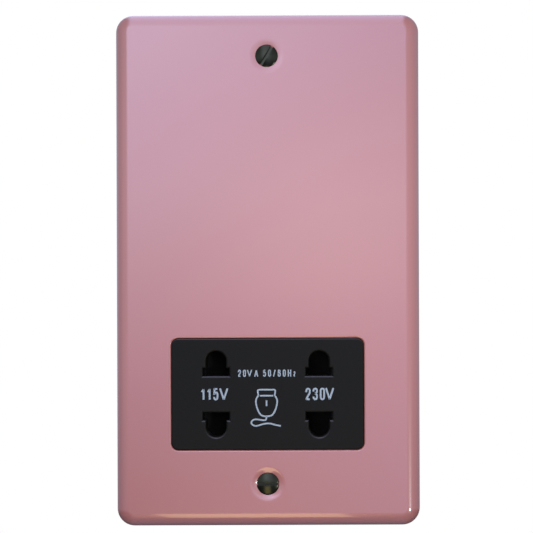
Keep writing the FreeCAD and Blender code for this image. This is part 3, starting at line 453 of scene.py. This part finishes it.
def studio_world():
    """A room: plain white behind the object, and for its light a wide soft window high on the left."""
    world = bpy.data.worlds.new("studio")
    world.use_nodes = True
    tree = world.node_tree
    tree.nodes.clear()
    way = add_node(tree, "ShaderNodeTexCoord")
    parts = add_node(tree, "ShaderNodeSeparateXYZ", Vector=(way, "Generated"))
    height = add_node(tree, "ShaderNodeMapRange", {"From Min": -1.0, "From Max": 1.0}, Value=(parts, "Z"))
    left = add_node(tree, "ShaderNodeValToRGB", Fac=(height, "Result"))
    right = add_node(tree, "ShaderNodeValToRGB", Fac=(height, "Result"))
    fill_ramp(left, LEFT_OF_ROOM)
    fill_ramp(right, RIGHT_OF_ROOM)
    share = add_node(tree, "ShaderNodeMapRange", {"From Min": -0.17, "From Max": 0.05}, Value=(parts, "X"))
    front = add_node(
        tree, "ShaderNodeMix", {"data_type": "RGBA"},
        Factor=(share, "Result"), A=(left, "Color"), B=(right, "Color"),
    )
    # The room is dimmer to both sides, and dimmest behind the object.
    across = add_node(tree, "ShaderNodeMapRange", {"From Min": -1.0, "From Max": 1.0}, Value=(parts, "X"))
    beside = add_node(tree, "ShaderNodeValToRGB", Fac=(height, "Result"))
    fill_ramp(beside, SIDES_OF_ROOM)
    edge = add_node(tree, "ShaderNodeValToRGB", Fac=(across, "Result"))
    fill_ramp(edge, [(-0.45, 1.0, 1.0), (-0.22, 0.0, 0.0), (0.12, 0.0, 0.0), (0.3, 1.0, 1.0)])
    whole = add_node(
        tree, "ShaderNodeMix", {"data_type": "RGBA"},
        Factor=(edge, "Color"), A=(front, "Result"), B=(beside, "Color"),
    )
    ends = add_node(tree, "ShaderNodeValToRGB", Fac=(across, "Result"))
    fill_ramp(ends, [(-1.0, 0.64, 0.64), (-0.79, 1.0, 1.0), (0.72, 1.0, 1.0), (1.0, 0.78, 0.78)])
    depth = add_node(
        tree, "ShaderNodeMapRange", {"From Min": 0.0, "From Max": 1.0, "To Min": 4.94, "To Max": 1.56},
        Value=(parts, "Y"),
    )
    light = add_node(
        tree, "ShaderNodeMix", {"data_type": "RGBA", "blend_type": "MULTIPLY", "Factor": 1.0},
        A=(whole, "Result"), B=(ends, "Color"),
    )
    room = add_node(tree, "ShaderNodeBackground", Color=(light, "Result"), Strength=(depth, "Result"))
    paper = add_node(tree, "ShaderNodeBackground", {"Color": (1.0, 1.0, 1.0, 1.0), "Strength": 1.0})
    seen = add_node(tree, "ShaderNodeLightPath")
    both = add_node(tree, "ShaderNodeMixShader", Fac=(seen, "Is Camera Ray"))
    tree.links.new(room.outputs["Background"], both.inputs[1])
    tree.links.new(paper.outputs["Background"], both.inputs[2])
    add_node(tree, "ShaderNodeOutputWorld", Surface=(both, "Shader"))
    return world


def fill_ramp(node, stops):
    """Sets a colour ramp's stops from rows of the sine, red and green, and blue."""
    ramp = node.color_ramp
    ramp.interpolation = "LINEAR"
    while len(ramp.elements) < len(stops):
        ramp.elements.new(0.5)
    for element, (sine, grey, blue) in zip(ramp.elements, stops):
        element.position = (sine + 1) / 2
    for element, (sine, grey, blue) in zip(ramp.elements, stops):
        element.color = (grey, grey, blue, 1.0)


def area_light(name, place, aim, width, height, colour, watts, seen_in_gloss=True, lights_colour=True):
    data = bpy.data.lights.new(name, "AREA")
    data.shape = "RECTANGLE"
    data.size, data.size_y = width, height
    data.color = linear(colour)[:3]
    data.energy = watts
    lamp = linked_object(name, data)
    lamp.location = place
    lamp.rotation_euler = (Vector(aim) - Vector(place)).to_track_quat("-Z", "Y").to_euler()
    lamp.visible_camera = False
    lamp.visible_glossy = seen_in_gloss
    lamp.visible_diffuse = lights_colour
    return lamp


def pale_floor(settings):
    """A plain painted board: matt, nearly white, with a faint roller mark."""
    material, tree = new_material("matt_white_board")
    place = add_node(tree, "ShaderNodeTexCoord")
    mark = add_node(
        tree, "ShaderNodeTexNoise", {"Scale": 1 / (60 * MM), "Detail": 2.0}, Vector=(place, "Object")
    )
    tone = shaded(tree, settings.floor, mark, 0.99, 1.0)
    shader = add_node(tree, "ShaderNodeBsdfPrincipled", {"Roughness": 0.9}, Base_Color=(tone, "Color"))
    add_node(tree, "ShaderNodeOutputMaterial", Surface=(shader, "BSDF"))
    return material


class SHAVER_OT_stage(bpy.types.Operator):
    """Makes the camera, the lights, the floor and the backdrop"""
    bl_idname = "shaver.stage"
    bl_label = "Stage"

    def execute(self, context):
        settings = context.scene.shaver_studio
        scene = context.scene
        scene.view_settings.view_transform = "Standard"
        scene.world = studio_world()

        data = bpy.data.cameras.new("camera")
        camera = linked_object("camera", data)
        data.sensor_width = 36.0
        data.lens = data.sensor_width * settings.distance / settings.picture
        data.shift_x = -(settings.aside + settings.right) / settings.picture
        data.shift_y = (settings.drop - settings.lift) / settings.picture
        camera.location = (settings.aside, PLATE_Y - settings.distance, -settings.drop)
        camera.rotation_euler = (math.radians(90), settings.turn, 0.0)
        scene.camera = camera

        # A warm lamp low in front, which only the gloss mirrors: the line along the plate's lower roll.
        area_light(
            "low_lamp", (-0.024, -0.25, -0.21), (0.0, 0.0, -0.07), 0.095, 0.165, "#FFDDA8", 0.15,
            lights_colour=False,
        )
        # A small soft lamp near the plate lights its colour only, and falls off towards the lower left.
        area_light(
            "near_lamp", (0.02, -0.14, 0.01), (0.02, 0.0, 0.01), 0.06, 0.06, "#FFEFDC", 0.09,
            seen_in_gloss=False,
        )
        # A small lamp low on the right, for the glints on the screws and on the apertures' lips.
        area_light("right_lamp", (0.28, -0.36, -0.17), (0.0, 0.0, 0.0), 0.05, 0.05, "#FFFFFF", 0.4)
        # The light that a floor sends up, from the right.
        area_light(
            "floor_fill", (0.22, -0.08, -0.35), (0.15, -0.08, 0.0), 0.4, 0.25, "#FFF4E4", 0.4,
            seen_in_gloss=False,
        )

        bm = bmesh.new()
        # The floor is a board that stays below the picture.
        bmesh.ops.create_grid(bm, x_segments=8, y_segments=8, size=0.6)
        bmesh.ops.translate(bm, verts=bm.verts, vec=(0.0, 0.0, -settings.floor_drop))
        mesh = bpy.data.meshes.new("floor")
        bm.to_mesh(mesh)
        bm.free()
        floor = linked_object("floor", mesh)
        mesh.materials.append(pale_floor(settings))
        # The floor is out of the gloss and sends up no light of its own: floor_fill does that. So the plate's
        # lower roll mirrors the room, as it does on a wall.
        floor.visible_glossy = False
        floor.visible_diffuse = False
        return {"FINISHED"}


# Plate and face

def rolled_block(bm, half_x, half_z, front_y, back_y, corner, roll):
    """A block with round corners whose front edge is rolled."""
    cube = bmesh.ops.create_cube(bm, size=1.0)["verts"]
    bmesh.ops.scale(bm, verts=cube, vec=(2 * half_x, back_y - front_y, 2 * half_z))
    bmesh.ops.translate(bm, verts=cube, vec=(0.0, (front_y + back_y) / 2, 0.0))
    posts = [e for e in bm.edges if abs(e.verts[0].co.y - e.verts[1].co.y) > CLOSE]
    bmesh.ops.bevel(bm, geom=posts, offset=corner, segments=12, profile=0.5, affect="EDGES", material=-1)
    front = [e for e in bm.edges if all(abs(v.co.y - front_y) < CLOSE for v in e.verts)]
    bmesh.ops.bevel(bm, geom=front, offset=roll, segments=12, profile=0.5, affect="EDGES", material=-1)


def window_punch(bm, settings, middle_z):
    """The punch that opens the window, flared at the plate's face so that the opening has a round lip."""
    lip = settings.window_lip
    grid = bmesh.ops.create_grid(bm, x_segments=1, y_segments=1, size=0.5)["verts"]
    wide = (settings.window_width + 2 * lip, settings.window_height + 2 * lip, 1.0)
    bmesh.ops.scale(bm, verts=grid, vec=wide)
    bmesh.ops.bevel(
        bm, geom=grid, offset=settings.window_corner + lip, segments=12, profile=0.5, affect="VERTICES",
        material=-1,
    )
    bmesh.ops.rotate(bm, verts=bm.verts, matrix=Matrix.Rotation(math.radians(-90), 3, "X"))
    bmesh.ops.translate(bm, verts=bm.verts, vec=(0.0, PLATE_Y - MM, middle_z))
    front = bm.faces[:]
    swept = bmesh.ops.extrude_face_region(bm, geom=front, use_keep_orig=True)["geom"]
    cap = [f for f in swept if isinstance(f, bmesh.types.BMFace)]
    bmesh.ops.translate(bm, verts=verts_of(swept), vec=(0.0, MM, 0.0))
    steps = 6
    turns = [math.radians(90) * i / steps for i in range(steps + 1)]
    for a, b in zip(turns, turns[1:]):
        bmesh.ops.inset_region(
            bm, faces=cap, thickness=lip * (math.sin(b) - math.sin(a)), use_even_offset=True,
            use_boundary=True,
        )
        bmesh.ops.translate(bm, verts=cap[0].verts[:], vec=(0.0, lip * (math.cos(a) - math.cos(b)), 0.0))
    swept = bmesh.ops.extrude_face_region(bm, geom=cap)["geom"]
    bmesh.ops.delete(bm, geom=cap, context="FACES_ONLY")
    bmesh.ops.translate(bm, verts=verts_of(swept), vec=(0.0, 2 * settings.sheet, 0.0))


def dimple_depth(settings, slope, radius):
    """How far a dimple has fallen at a radius: it curves down over its flare, then falls evenly."""
    bend = settings.flare / math.sin(slope)
    even = settings.dimple - settings.flare
    return bend * (1 - math.cos(slope)) + (even - radius) * math.tan(slope)


def dimple_profile(settings, slope):
    """The form that a dimple's punch leaves: a soft fall, a seat at 45 degrees and the screw's hole."""
    bend = settings.flare / math.sin(slope)
    points = [(0.0, PLATE_Y - MM), (settings.dimple, PLATE_Y - MM)]
    for i in range(11):
        turn = slope * i / 10
        points.append((settings.dimple - bend * math.sin(turn), PLATE_Y + bend * (1 - math.cos(turn))))
    seat_y = PLATE_Y + dimple_depth(settings, slope, HEAD_R)
    neck_y = seat_y + HEAD_R - HOLE_R
    behind_y = PLATE_Y + 8 * MM
    return points + [(HEAD_R, seat_y), (HOLE_R, neck_y), (HOLE_R, behind_y), (0.0, behind_y)]


def dimple_back(settings, slope):
    """The back of a dimple, a cone parallel to the seat."""
    sheet = settings.sheet
    seat_y = PLATE_Y + dimple_depth(settings, slope, HEAD_R)
    end_y = seat_y + HEAD_R - HOLE_R + 0.5 * MM
    wide = HEAD_R + sheet * math.sqrt(2)
    return [
        (0.0, PLATE_Y + sheet / 2), (wide, PLATE_Y + sheet / 2), (wide, seat_y),
        (wide - (end_y - seat_y), end_y), (0.0, end_y),
    ]


def turned_profile(bm, points, centre):
    """Spins a profile of (radius, depth) points about an axis along Y through the centre."""
    verts = [bm.verts.new((centre.x + r, y, centre.z)) for r, y in points]
    edges = [bm.edges.new(pair) for pair in zip(verts, verts[1:])]
    bmesh.ops.spin(
        bm, geom=verts + edges, cent=centre, axis=(0, 1, 0), angle=math.radians(360), steps=ROUND,
        use_merge=True, use_duplicate=False,
    )
    bmesh.ops.remove_doubles(bm, verts=bm.verts, dist=CLOSE)


class SHAVER_OT_plate(bpy.types.Operator):
    """Makes the pressed front plate: rolled edge, window, and a soft dimple round each screw"""
    bl_idname = "shaver.plate"
    bl_label = "Front plate"

    def execute(self, context):
        settings = context.scene.shaver_plate
        low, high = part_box("front_plate")
        half_x, half_z = high.x, settings.height / 2
        sheet = settings.sheet
        bm = bmesh.new()
        rolled_block(bm, half_x, half_z, low.y, high.y, settings.corner, settings.roll)
        blank = blank_object("sheet", bm)

        bm = bmesh.new()
        rolled_block(
            bm, half_x - sheet, half_z - sheet, low.y + sheet, high.y + MM, settings.corner - sheet,
            settings.roll - sheet,
        )
        tools = [blank_object("hollow", bm)]
        join_or_cut(blank, tools[0], "DIFFERENCE")

        backs, punches = bmesh.new(), bmesh.new()
        window_punch(punches, settings, OUTLET_Z)
        for node, slope in (
            ("fixing_screw_top", settings.slope_top), ("fixing_screw_bottom", settings.slope_bottom),
        ):
            first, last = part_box(node)
            centre = Vector((0.0, 0.0, (first.z + last.z) / 2))
            turned_profile(backs, dimple_back(settings, slope), centre)
            turned_profile(punches, dimple_profile(settings, slope), centre)
        for name, bm, operation in (("backs", backs, "UNION"), ("punches", punches, "DIFFERENCE")):
            tools.append(blank_object(name, bm))
            join_or_cut(blank, tools[-1], operation)
        mesh = evaluated_mesh(blank, "plate")
        for tool in tools:
            bpy.data.objects.remove(tool)

        bm = bmesh.new()
        bm.from_mesh(mesh)
        for edge in bm.edges:
            edge.smooth = edge.calc_face_angle(0.0) < math.radians(25)
        enamel = enamel_pink(settings)
        piece = new_piece("pressed_plate", bm, enamel, "pink_enamel", "front_plate")
        # The flat face stays flat in the light, and the roll and the lips turn away from it smoothly.
        normals = piece.modifiers.new("normals", "WEIGHTED_NORMAL")
        normals.keep_sharp = True
        return {"FINISHED"}


class SHAVER_OT_face(bpy.types.Operator):
    """Finishes the moulded face and the shutters behind its apertures"""
    bl_idname = "shaver.face"
    bl_label = "Moulded face"

    def execute(self, context):
        settings = context.scene.shaver_face
        # Satin thermoset: the face is nearly black and its grain spreads every reflection.
        face = moulded_plastic(
            "satin_black_thermoset", settings.moulding, 0.42, settings.grain, 0.03 * MM, FACE_SHEEN
        )
        # Painted sheen on the face's up-facing surfaces: a painted highlight along each aperture's lower
        # edge.
        paint_sheen_on_upward_faces(face)
        finish(face, "front_moulding")
        # Black acetal: smoother than the face and darker for sitting in its own shade.
        shutters = moulded_plastic("smooth_black_acetal", linear("#080808"), 0.5, 0.3 * MM, 0.01 * MM, 0.15)
        finish(shutters, "shutter_115v", "shutter_230v")
        return {"FINISHED"}


# Figures and letters as strokes of one width. Each has its width as a share of the height, and its strokes
# on a grid from 0 to 1 between its outer lines: points, whether a stroke closes, its order (2 is straight).
GLYPHS = {
    "0": (0.44, [([(0, 0), (0, 0.5), (0, 1), (1, 1), (1, 0.5), (1, 0)], True, 3)]),
    "1": (0.3, [([(1, 0), (1, 1)], False, 2), ([(0, 0.72), (1, 0.96)], False, 2)]),
    "2": (0.44, [([(0, 0.68), (0, 1), (1, 1), (1, 0.55), (0.4, 0.3), (0, 0)], False, 3),
                 ([(-0.1, 0), (1, 0)], False, 2)]),
    "3": (0.44, [([(0, 0.74), (0, 1), (1, 1), (1, 0.54), (0.35, 0.54)], False, 3),
                 ([(0.35, 0.54), (1, 0.54), (1, 0), (0, 0), (0, 0.26)], False, 3)]),
    "5": (0.44, [([(0.1, 1), (0.95, 1)], False, 2), ([(0.16, 1.04), (0.04, 0.46)], False, 2),
                 ([(0.04, 0.5), (0.35, 0.68), (1, 0.66), (1, 0), (0, 0), (0, 0.26)], False, 3)]),
    "6": (0.44, [([(0.95, 0.76), (0.9, 1), (0, 1), (0, 0.5), (0, 0), (1, 0), (1, 0.6), (0, 0.62),
                   (0, 0.34)], False, 3)]),
    "V": (0.6, [([(-0.35, 1.06), (0.33, 0)], False, 2), ([(1, 1.06), (0.33, 0)], False, 2)]),
    "A": (0.6, [([(0, -0.06), (0.5, 1)], False, 2), ([(1, -0.06), (0.5, 1)], False, 2),
                ([(0.2, 0.3), (0.8, 0.3)], False, 2)]),
    "H": (0.5, [([(0, -0.08), (0, 1.08)], False, 2), ([(1, -0.08), (1, 1.08)], False, 2),
                ([(0, 0.5), (1, 0.5)], False, 2)]),
    "z": (0.36, [([(0, 0.68), (1, 0.68)], False, 2), ([(1, 0.68), (0, 0)], False, 2),
                 ([(0, 0), (1, 0)], False, 2)]),
    "/": (0.4, [([(0, -0.06), (1, 1.06)], False, 2)]),
    " ": (0.12, []),
}


def lettering(text, width, height, line):
    """Strokes that write a text of that width and height round the origin, from the table of figures."""
    shares = [GLYPHS[c][0] for c in text]
    gap = (width - sum(shares) * height) / (len(text) - 1)
    strokes = []
    left = -width / 2
    for c, share in zip(text, shares):
        x0, x1 = left + line / 2, left + share * height - line / 2
        y0, y1 = (line - height) / 2, (height - line) / 2
        for points, closed, order in GLYPHS[c][1]:
            strokes.append(([(x0 + u * (x1 - x0), y0 + v * (y1 - y0)) for u, v in points], closed, order))
        left += share * height + gap
    return strokes


def printed(name, strokes, line, material, x, z, thickness):
    """Prints strokes of one width on the face round (x, z), along straight or smooth lines."""
    curve = bpy.data.curves.new(name, "CURVE")
    curve.dimensions = "3D"
    curve.bevel_depth = line / 2
    curve.bevel_resolution = 1
    curve.resolution_u = 6
    curve.use_fill_caps = True
    for points, closed, order in strokes:
        spline = curve.splines.new("NURBS")
        spline.points.add(len(points) - 1)
        for point, (across, up) in zip(spline.points, points):
            point.co = (across, up, 0.0, 1.0)
        spline.use_cyclic_u = closed
        spline.use_endpoint_u = not closed
        spline.order_u = order
    mesh = evaluated_mesh(linked_object(name, curve), name)
    # The round strokes are pressed flat, and a tenth of the ink lies in the moulding so that no gap shows.
    flat = Matrix.Diagonal((1.0, 1.0, thickness / line, 1.0))
    stand = Matrix.Rotation(math.radians(90), 4, "X")
    home = Matrix.Translation((x, FACE_Y - 0.4 * thickness, z))
    mesh.transform(home @ stand @ flat)
    return place_mesh(name, mesh, material, "black_moulding")


# A plain electric shaver seen from the front, in millimetres: foil head, body, switch and a wavy lead.
SHAVER_STROKES = [
    ([(-2.3, 3.3), (-2.5, 5.0), (2.5, 5.0), (2.3, 3.3)], False, 2),
    ([(-1.9, 3.3), (1.9, 3.3)], False, 2),
    ([(-2.3, 3.3), (-3.1, 2.5), (-2.9, 0.4), (-2.1, -1.6), (-1.2, -2.5), (1.2, -2.5), (2.1, -1.6),
      (2.9, 0.4), (3.1, 2.5), (2.3, 3.3)], False, 3),
    ([(0.0, 2.0), (0.0, 0.4)], False, 2),
    ([(0.0, -2.5), (0.0, -3.6), (-1.2, -3.6), (-3.6, -3.2), (-4.6, -4.4), (-3.2, -5.4), (-1.2, -4.7),
      (0.8, -4.4), (2.6, -5.0), (4.0, -5.2)], False, 3),
]


class SHAVER_OT_printing(bpy.types.Operator):
    """Prints the voltages, the rating and the shaver symbol on the face"""
    bl_idname = "shaver.printing"
    bl_label = "Printing"

    def execute(self, context):
        settings = context.scene.shaver_face
        ink = screen_ink(settings)
        depth = settings.ink_depth
        for name, text, width, x in (
            ("figures_115v", "115V", 7.8 * MM, -14.9 * MM), ("figures_230v", "230V", 8.2 * MM, 14.7 * MM),
        ):
            strokes = lettering(text, width, settings.figure_height, settings.figure_line)
            printed(name, strokes, settings.figure_line, ink, x, OUTLET_Z, depth)
        strokes = lettering("20VA 50/60Hz", 16.3 * MM, settings.note_height, settings.note_line)
        printed("rating", strokes, settings.note_line, ink, -0.2 * MM, OUTLET_Z + 5.9 * MM, depth)
        strokes = [([(x * MM, y * MM) for x, y in points], *rest) for points, *rest in SHAVER_STROKES]
        printed("shaver_symbol", strokes, settings.symbol_line, ink, -0.3 * MM, OUTLET_Z - 3.75 * MM, depth)
        return {"FINISHED"}


# Fixing screws

def sweep_coils(bm, section, centre, axis, spans):
    """Sweeps a closed section along a helix through spans of (turns, pitch), and closes both its ends."""
    bmesh.ops.contextual_create(bm, geom=verts_of(section))
    steps = 32
    for turns, pitch in spans:
        swept = bmesh.ops.spin(
            bm, geom=section, cent=centre, axis=axis, dvec=Vector(axis) * (pitch / steps),
            angle=math.radians(360) * turns, steps=round(steps * turns), use_merge=False, use_duplicate=False,
        )
        section = swept["geom_last"]
    bmesh.ops.contextual_create(bm, geom=verts_of(section))


def fixing_screw(name, node, slot_angle, slope, settings, material):
    """A raised countersunk screw with a slotted head, rounded at its edges, and a rolled thread."""
    low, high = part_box(node)
    centre = Vector((0.0, 0.0, (low.z + high.z) / 2))
    head_r = (high.z - low.z) / 2
    dome = settings.dome
    proud = 0.04 * MM
    rim_y = PLATE_Y + dimple_depth(bpy.context.scene.shaver_plate, slope, head_r) - proud
    dome_r = (head_r ** 2 + dome ** 2) / (2 * dome)
    top_y = rim_y - dome
    swell = [math.asin(head_r / dome_r) * i / 8 for i in range(9)]
    neck_r, core_r, crest_r = 1.5 * MM, 1.4 * MM, 1.75 * MM
    neck_y = rim_y + head_r - neck_r
    end_y = high.y
    profile = [(dome_r * math.sin(a), top_y + dome_r * (1 - math.cos(a))) for a in swell]
    profile[0] = (0.0, top_y)
    profile += [(neck_r, neck_y), (neck_r, neck_y + 0.7 * MM), (core_r, neck_y + 0.8 * MM)]
    profile += [(core_r, end_y - 0.5 * MM), (core_r - 0.4 * MM, end_y), (0.0, end_y)]
    bm = bmesh.new()
    turned_profile(bm, profile, centre)
    blank = blank_object(name + "_blank", bm)

    bm = bmesh.new()
    bmesh.ops.create_cube(bm, size=1.0)
    bmesh.ops.scale(bm, verts=bm.verts, vec=(4 * head_r, 2 * settings.slot, 0.8 * MM))
    bmesh.ops.rotate(bm, verts=bm.verts, matrix=Matrix.Rotation(math.radians(-slot_angle), 3, "Y"))
    bmesh.ops.translate(bm, verts=bm.verts, vec=(0.0, top_y, centre.z))
    saw = blank_object("saw", bm)
    join_or_cut(blank, saw, "DIFFERENCE")
    soft = blank.modifiers.new("edges", "BEVEL")
    soft.limit_method, soft.angle_limit = "ANGLE", math.radians(35)
    soft.width, soft.segments, soft.profile = settings.edge, 2, 0.5
    blank_mesh = evaluated_mesh(blank, name + "_blank")
    bpy.data.objects.remove(saw)

    bm = bmesh.new()
    bm.from_mesh(blank_mesh)
    pitch = settings.pitch
    first_y, last_y = neck_y + 0.9 * MM, end_y - 0.9 * MM
    half = 0.42 * pitch
    root_r, flat = core_r - 0.05 * MM, 0.06 * pitch
    corners = ((root_r, -half), (crest_r, -flat), (crest_r, flat), (root_r, half))
    verts = [bm.verts.new((r, first_y + y, centre.z)) for r, y in corners]
    edges = [bm.edges.new(pair) for pair in zip(verts, verts[1:] + verts[:1])]
    sweep_coils(bm, verts + edges, centre, (0, 1, 0), [((last_y - first_y) / pitch, pitch)])
    piece = new_piece(name, bm, material, "dark_nickel", node)
    piece.modifiers.new("normals", "WEIGHTED_NORMAL")
    return piece


class SHAVER_OT_fixing_screws(bpy.types.Operator):
    """Makes the two threaded screws that hold the plate to its box"""
    bl_idname = "shaver.fixing_screws"
    bl_label = "Fixing screws"

    def execute(self, context):
        settings = context.scene.shaver_screws
        # Dark nickel on turned brass: nearly black in the shade, warm and bright where light falls on it.
        material = plated_metal("dark_nickel_plate", settings.nickel, 0.22, 0.5 * MM)
        plate = context.scene.shaver_plate
        for name, node, slot_angle, slope in (
            ("threaded_screw_top", "fixing_screw_top", 59.0, plate.slope_top),
            ("threaded_screw_bottom", "fixing_screw_bottom", 0.0, plate.slope_bottom),
        ):
            fixing_screw(name, node, slot_angle, slope, settings, material)
        return {"FINISHED"}


# Inside

def return_spring(name, node, material):
    """A wound wire spring with closed end coils, against the carrier's wall."""
    low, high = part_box(node)
    wire = 0.18 * MM
    middle = (low + high) / 2
    coil_r = (high.y - low.y) / 2 - wire
    free = high.x - low.x - 2 * wire
    dead, live = 0.75, 3.5
    closed = 2.05 * wire
    centre = Vector((low.x + wire, middle.y, middle.z))
    bm = bmesh.new()
    ring = bmesh.ops.create_circle(bm, cap_ends=False, radius=wire, segments=12)["verts"]
    bmesh.ops.translate(bm, verts=ring, vec=(centre.x, centre.y + coil_r, centre.z))
    spans = ((dead, closed), (live, (free - 2 * dead * closed) / live), (dead, closed))
    sweep_coils(bm, ring + bm.edges[:], centre, (1, 0, 0), spans)
    piece = new_piece(name, bm, material, "spring_steel", node)
    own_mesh(piece)
    return piece


class SHAVER_OT_mechanism(bpy.types.Operator):
    """Finishes the carrier, contacts and microswitches, and winds the shutter springs"""
    bl_idname = "shaver.mechanism"
    bl_label = "Shutter mechanism"

    def execute(self, context):
        settings = context.scene.shaver_inside
        # Natural nylon: warm white and slightly waxy.
        nylon = moulded_plastic("natural_nylon_carrier", settings.nylon, 0.48, 0.5 * MM, 0.015 * MM)
        finish(nylon, "contact_carrier", "contact_retainer")
        # Rolled brass strip: lines along the rolling, so it is bright across them.
        brass = lined_metal("rolled_brass_strip", settings.brass, 0.3, (30.0, 1.0, 30.0), 3 * MM)
        finish(brass, "contact_115v_upper", "contact_115v_lower", "contact_230v_upper", "contact_230v_lower")
        # Glass-filled polyester: a dense black with a dry surface.
        case = moulded_plastic("black_polyester_case", linear("#1C1C1E"), 0.55, 0.35 * MM, 0.01 * MM)
        finish(case, "switch_body_115v", "switch_body_230v")
        # Red acetal: an even, slippery gloss.
        acetal = moulded_plastic("red_acetal", settings.plunger, 0.3, 0.4 * MM, 0.005 * MM)
        finish(acetal, "switch_plunger_115v", "switch_plunger_230v")
        # Tinned brass: a soft grey bloom over the strip's own lines.
        tin = plated_metal("tinned_brass_tag", linear("#C4BBA2"), 0.35, 0.8 * MM)
        finish(tin, "switch_tags_115v", "switch_tags_230v", "earth_tag", "bobbin_tags")
        # Drawn stainless wire: draw lines along the wire give it a silky shine.
        wire = lined_metal("drawn_stainless_wire", linear("#A9ABB0"), 0.28, (20.0, 4.0, 4.0), 2 * MM)
        return_spring("return_spring_115v", "shutter_spring_115v", wire)
        return_spring("return_spring_230v", "shutter_spring_230v", wire)
        return {"FINISHED"}


class SHAVER_OT_transformer(bpy.types.Operator):
    """Finishes the transformer's core, bobbin, windings, tape and cut-out"""
    bl_idname = "shaver.transformer"
    bl_label = "Transformer"

    def execute(self, context):
        settings = context.scene.shaver_inside
        # Silicon steel laminations under varnish: a dark joint between each two sheets.
        sheets = banded(
            "varnished_laminations", linear("#2B2624"), linear("#6B635C"), "Y", settings.lamination,
            0.05 * MM, 0.7, 0.45,
        )
        finish(sheets, "transformer_core")
        # Moulded nylon, the same as the carrier but smoother where the wire lies.
        bobbin = moulded_plastic("natural_nylon_bobbin", settings.nylon, 0.4, 0.6 * MM, 0.01 * MM)
        finish(bobbin, "transformer_bobbin")
        # Enamelled wire: turn beside turn, with painted shade in the grooves between turns. The real wire is
        # 0.15 mm; 0.3 mm shows.
        copper = banded(
            "enamelled_copper_winding", linear("#5A2A14"), settings.copper, "Z", 0.3 * MM, 0.1 * MM, 0.9, 0.3
        )
        finish(copper, "primary_winding", "secondary_winding")
        finish(film_tape(settings), "primary_tape", "secondary_tape")
        # Heat-shrunk sleeve over the cut-out: black with a soft wrinkle.
        sleeve = moulded_plastic("shrunk_black_sleeve", linear("#1E1E20"), 0.38, 1.6 * MM, 0.05 * MM)
        finish(sleeve, "thermal_cutout")
        return {"FINISHED"}


class SHAVER_OT_hardware(bpy.types.Operator):
    """Finishes the studs, nuts and plain screws"""
    bl_idname = "shaver.hardware"
    bl_label = "Studs and screws"

    def execute(self, context):
        # Bright zinc plate: bluish, with the small flats and dulled spots that barrel plating leaves.
        zinc = plated_metal("bright_zinc_plate", linear("#BFC2C6"), 0.28, 0.6 * MM)
        finish(zinc, "plate_studs", "stud_nuts", "module_screws", "case_screws", "strip_screws")
        return {"FINISHED"}


class SHAVER_OT_rear_housing(bpy.types.Operator):
    """Finishes the rear housing"""
    bl_idname = "shaver.rear_housing"
    bl_label = "Rear housing"

    def execute(self, context):
        settings = context.scene.shaver_inside
        # Flame-retardant moulding with a spark-eroded grain: dull black, greyer where light rakes it.
        housing = moulded_plastic("sparked_black_housing", settings.housing, 0.6, 0.55 * MM, 0.05 * MM)
        finish(housing, "rear_housing")
        return {"FINISHED"}


class SHAVER_OT_terminals(bpy.types.Operator):
    """Finishes the terminal strip, its barrels and its screws"""
    bl_idname = "shaver.terminals"
    bl_label = "Terminal strip"

    def execute(self, context):
        settings = context.scene.shaver_inside
        # Natural nylon again, a little glossier than the carrier's.
        strip = moulded_plastic("natural_nylon_strip", settings.nylon, 0.42, 0.5 * MM, 0.015 * MM)
        finish(strip, "terminal_block")
        # Turned brass rod: rings round each barrel, left by the lathe.
        barrels = lined_metal("turned_brass", settings.brass, 0.25, (0.5, 0.5, 12.0), 2 * MM)
        finish(barrels, "terminal_live", "terminal_earth", "terminal_neutral")
        finish(plated_metal("bright_zinc_clamp", linear("#BFC2C6"), 0.3, 0.5 * MM), "clamp_screws")
        return {"FINISHED"}


PIECES = (
    SHAVER_OT_stage, SHAVER_OT_plate, SHAVER_OT_face, SHAVER_OT_printing, SHAVER_OT_fixing_screws,
    SHAVER_OT_mechanism, SHAVER_OT_transformer, SHAVER_OT_hardware, SHAVER_OT_rear_housing,
    SHAVER_OT_terminals,
)


class SHAVER_PT_panel(bpy.types.Panel):
    """The socket's sizes and colours, and a button for each of its groups of pieces"""
    bl_idname = "SHAVER_PT_panel"
    bl_label = "Shaver Socket"
    bl_space_type = "VIEW_3D"
    bl_region_type = "UI"
    bl_category = "Shaver Socket"

    def draw(self, context):
        for key in SETTINGS:
            settings = getattr(context.scene, key)
            box = self.layout.box()
            for name in settings.__annotations__:
                box.prop(settings, name)
        for operator in PIECES:
            self.layout.operator(operator.bl_idname)


SETTINGS = {
    "shaver_plate": PlateSettings,
    "shaver_face": FaceSettings,
    "shaver_screws": ScrewSettings,
    "shaver_inside": InsideSettings,
    "shaver_studio": StudioSettings,
}
CLASSES = (*SETTINGS.values(), *PIECES, SHAVER_PT_panel)


def register():
    for cls in CLASSES:
        bpy.utils.register_class(cls)
    for key, cls in SETTINGS.items():
        setattr(bpy.types.Scene, key, bpy.props.PointerProperty(type=cls))


def unregister():
    for key in SETTINGS:
        delattr(bpy.types.Scene, key)
    for cls in reversed(CLASSES):
        bpy.utils.unregister_class(cls)


def main():
    register()
    bpy.ops.shaver.stage()
    bpy.ops.shaver.plate()
    bpy.ops.shaver.face()
    bpy.ops.shaver.printing()
    bpy.ops.shaver.fixing_screws()
    bpy.ops.shaver.mechanism()
    bpy.ops.shaver.transformer()
    bpy.ops.shaver.hardware()
    bpy.ops.shaver.rear_housing()
    bpy.ops.shaver.terminals()


if __name__ == "__main__":
    main()
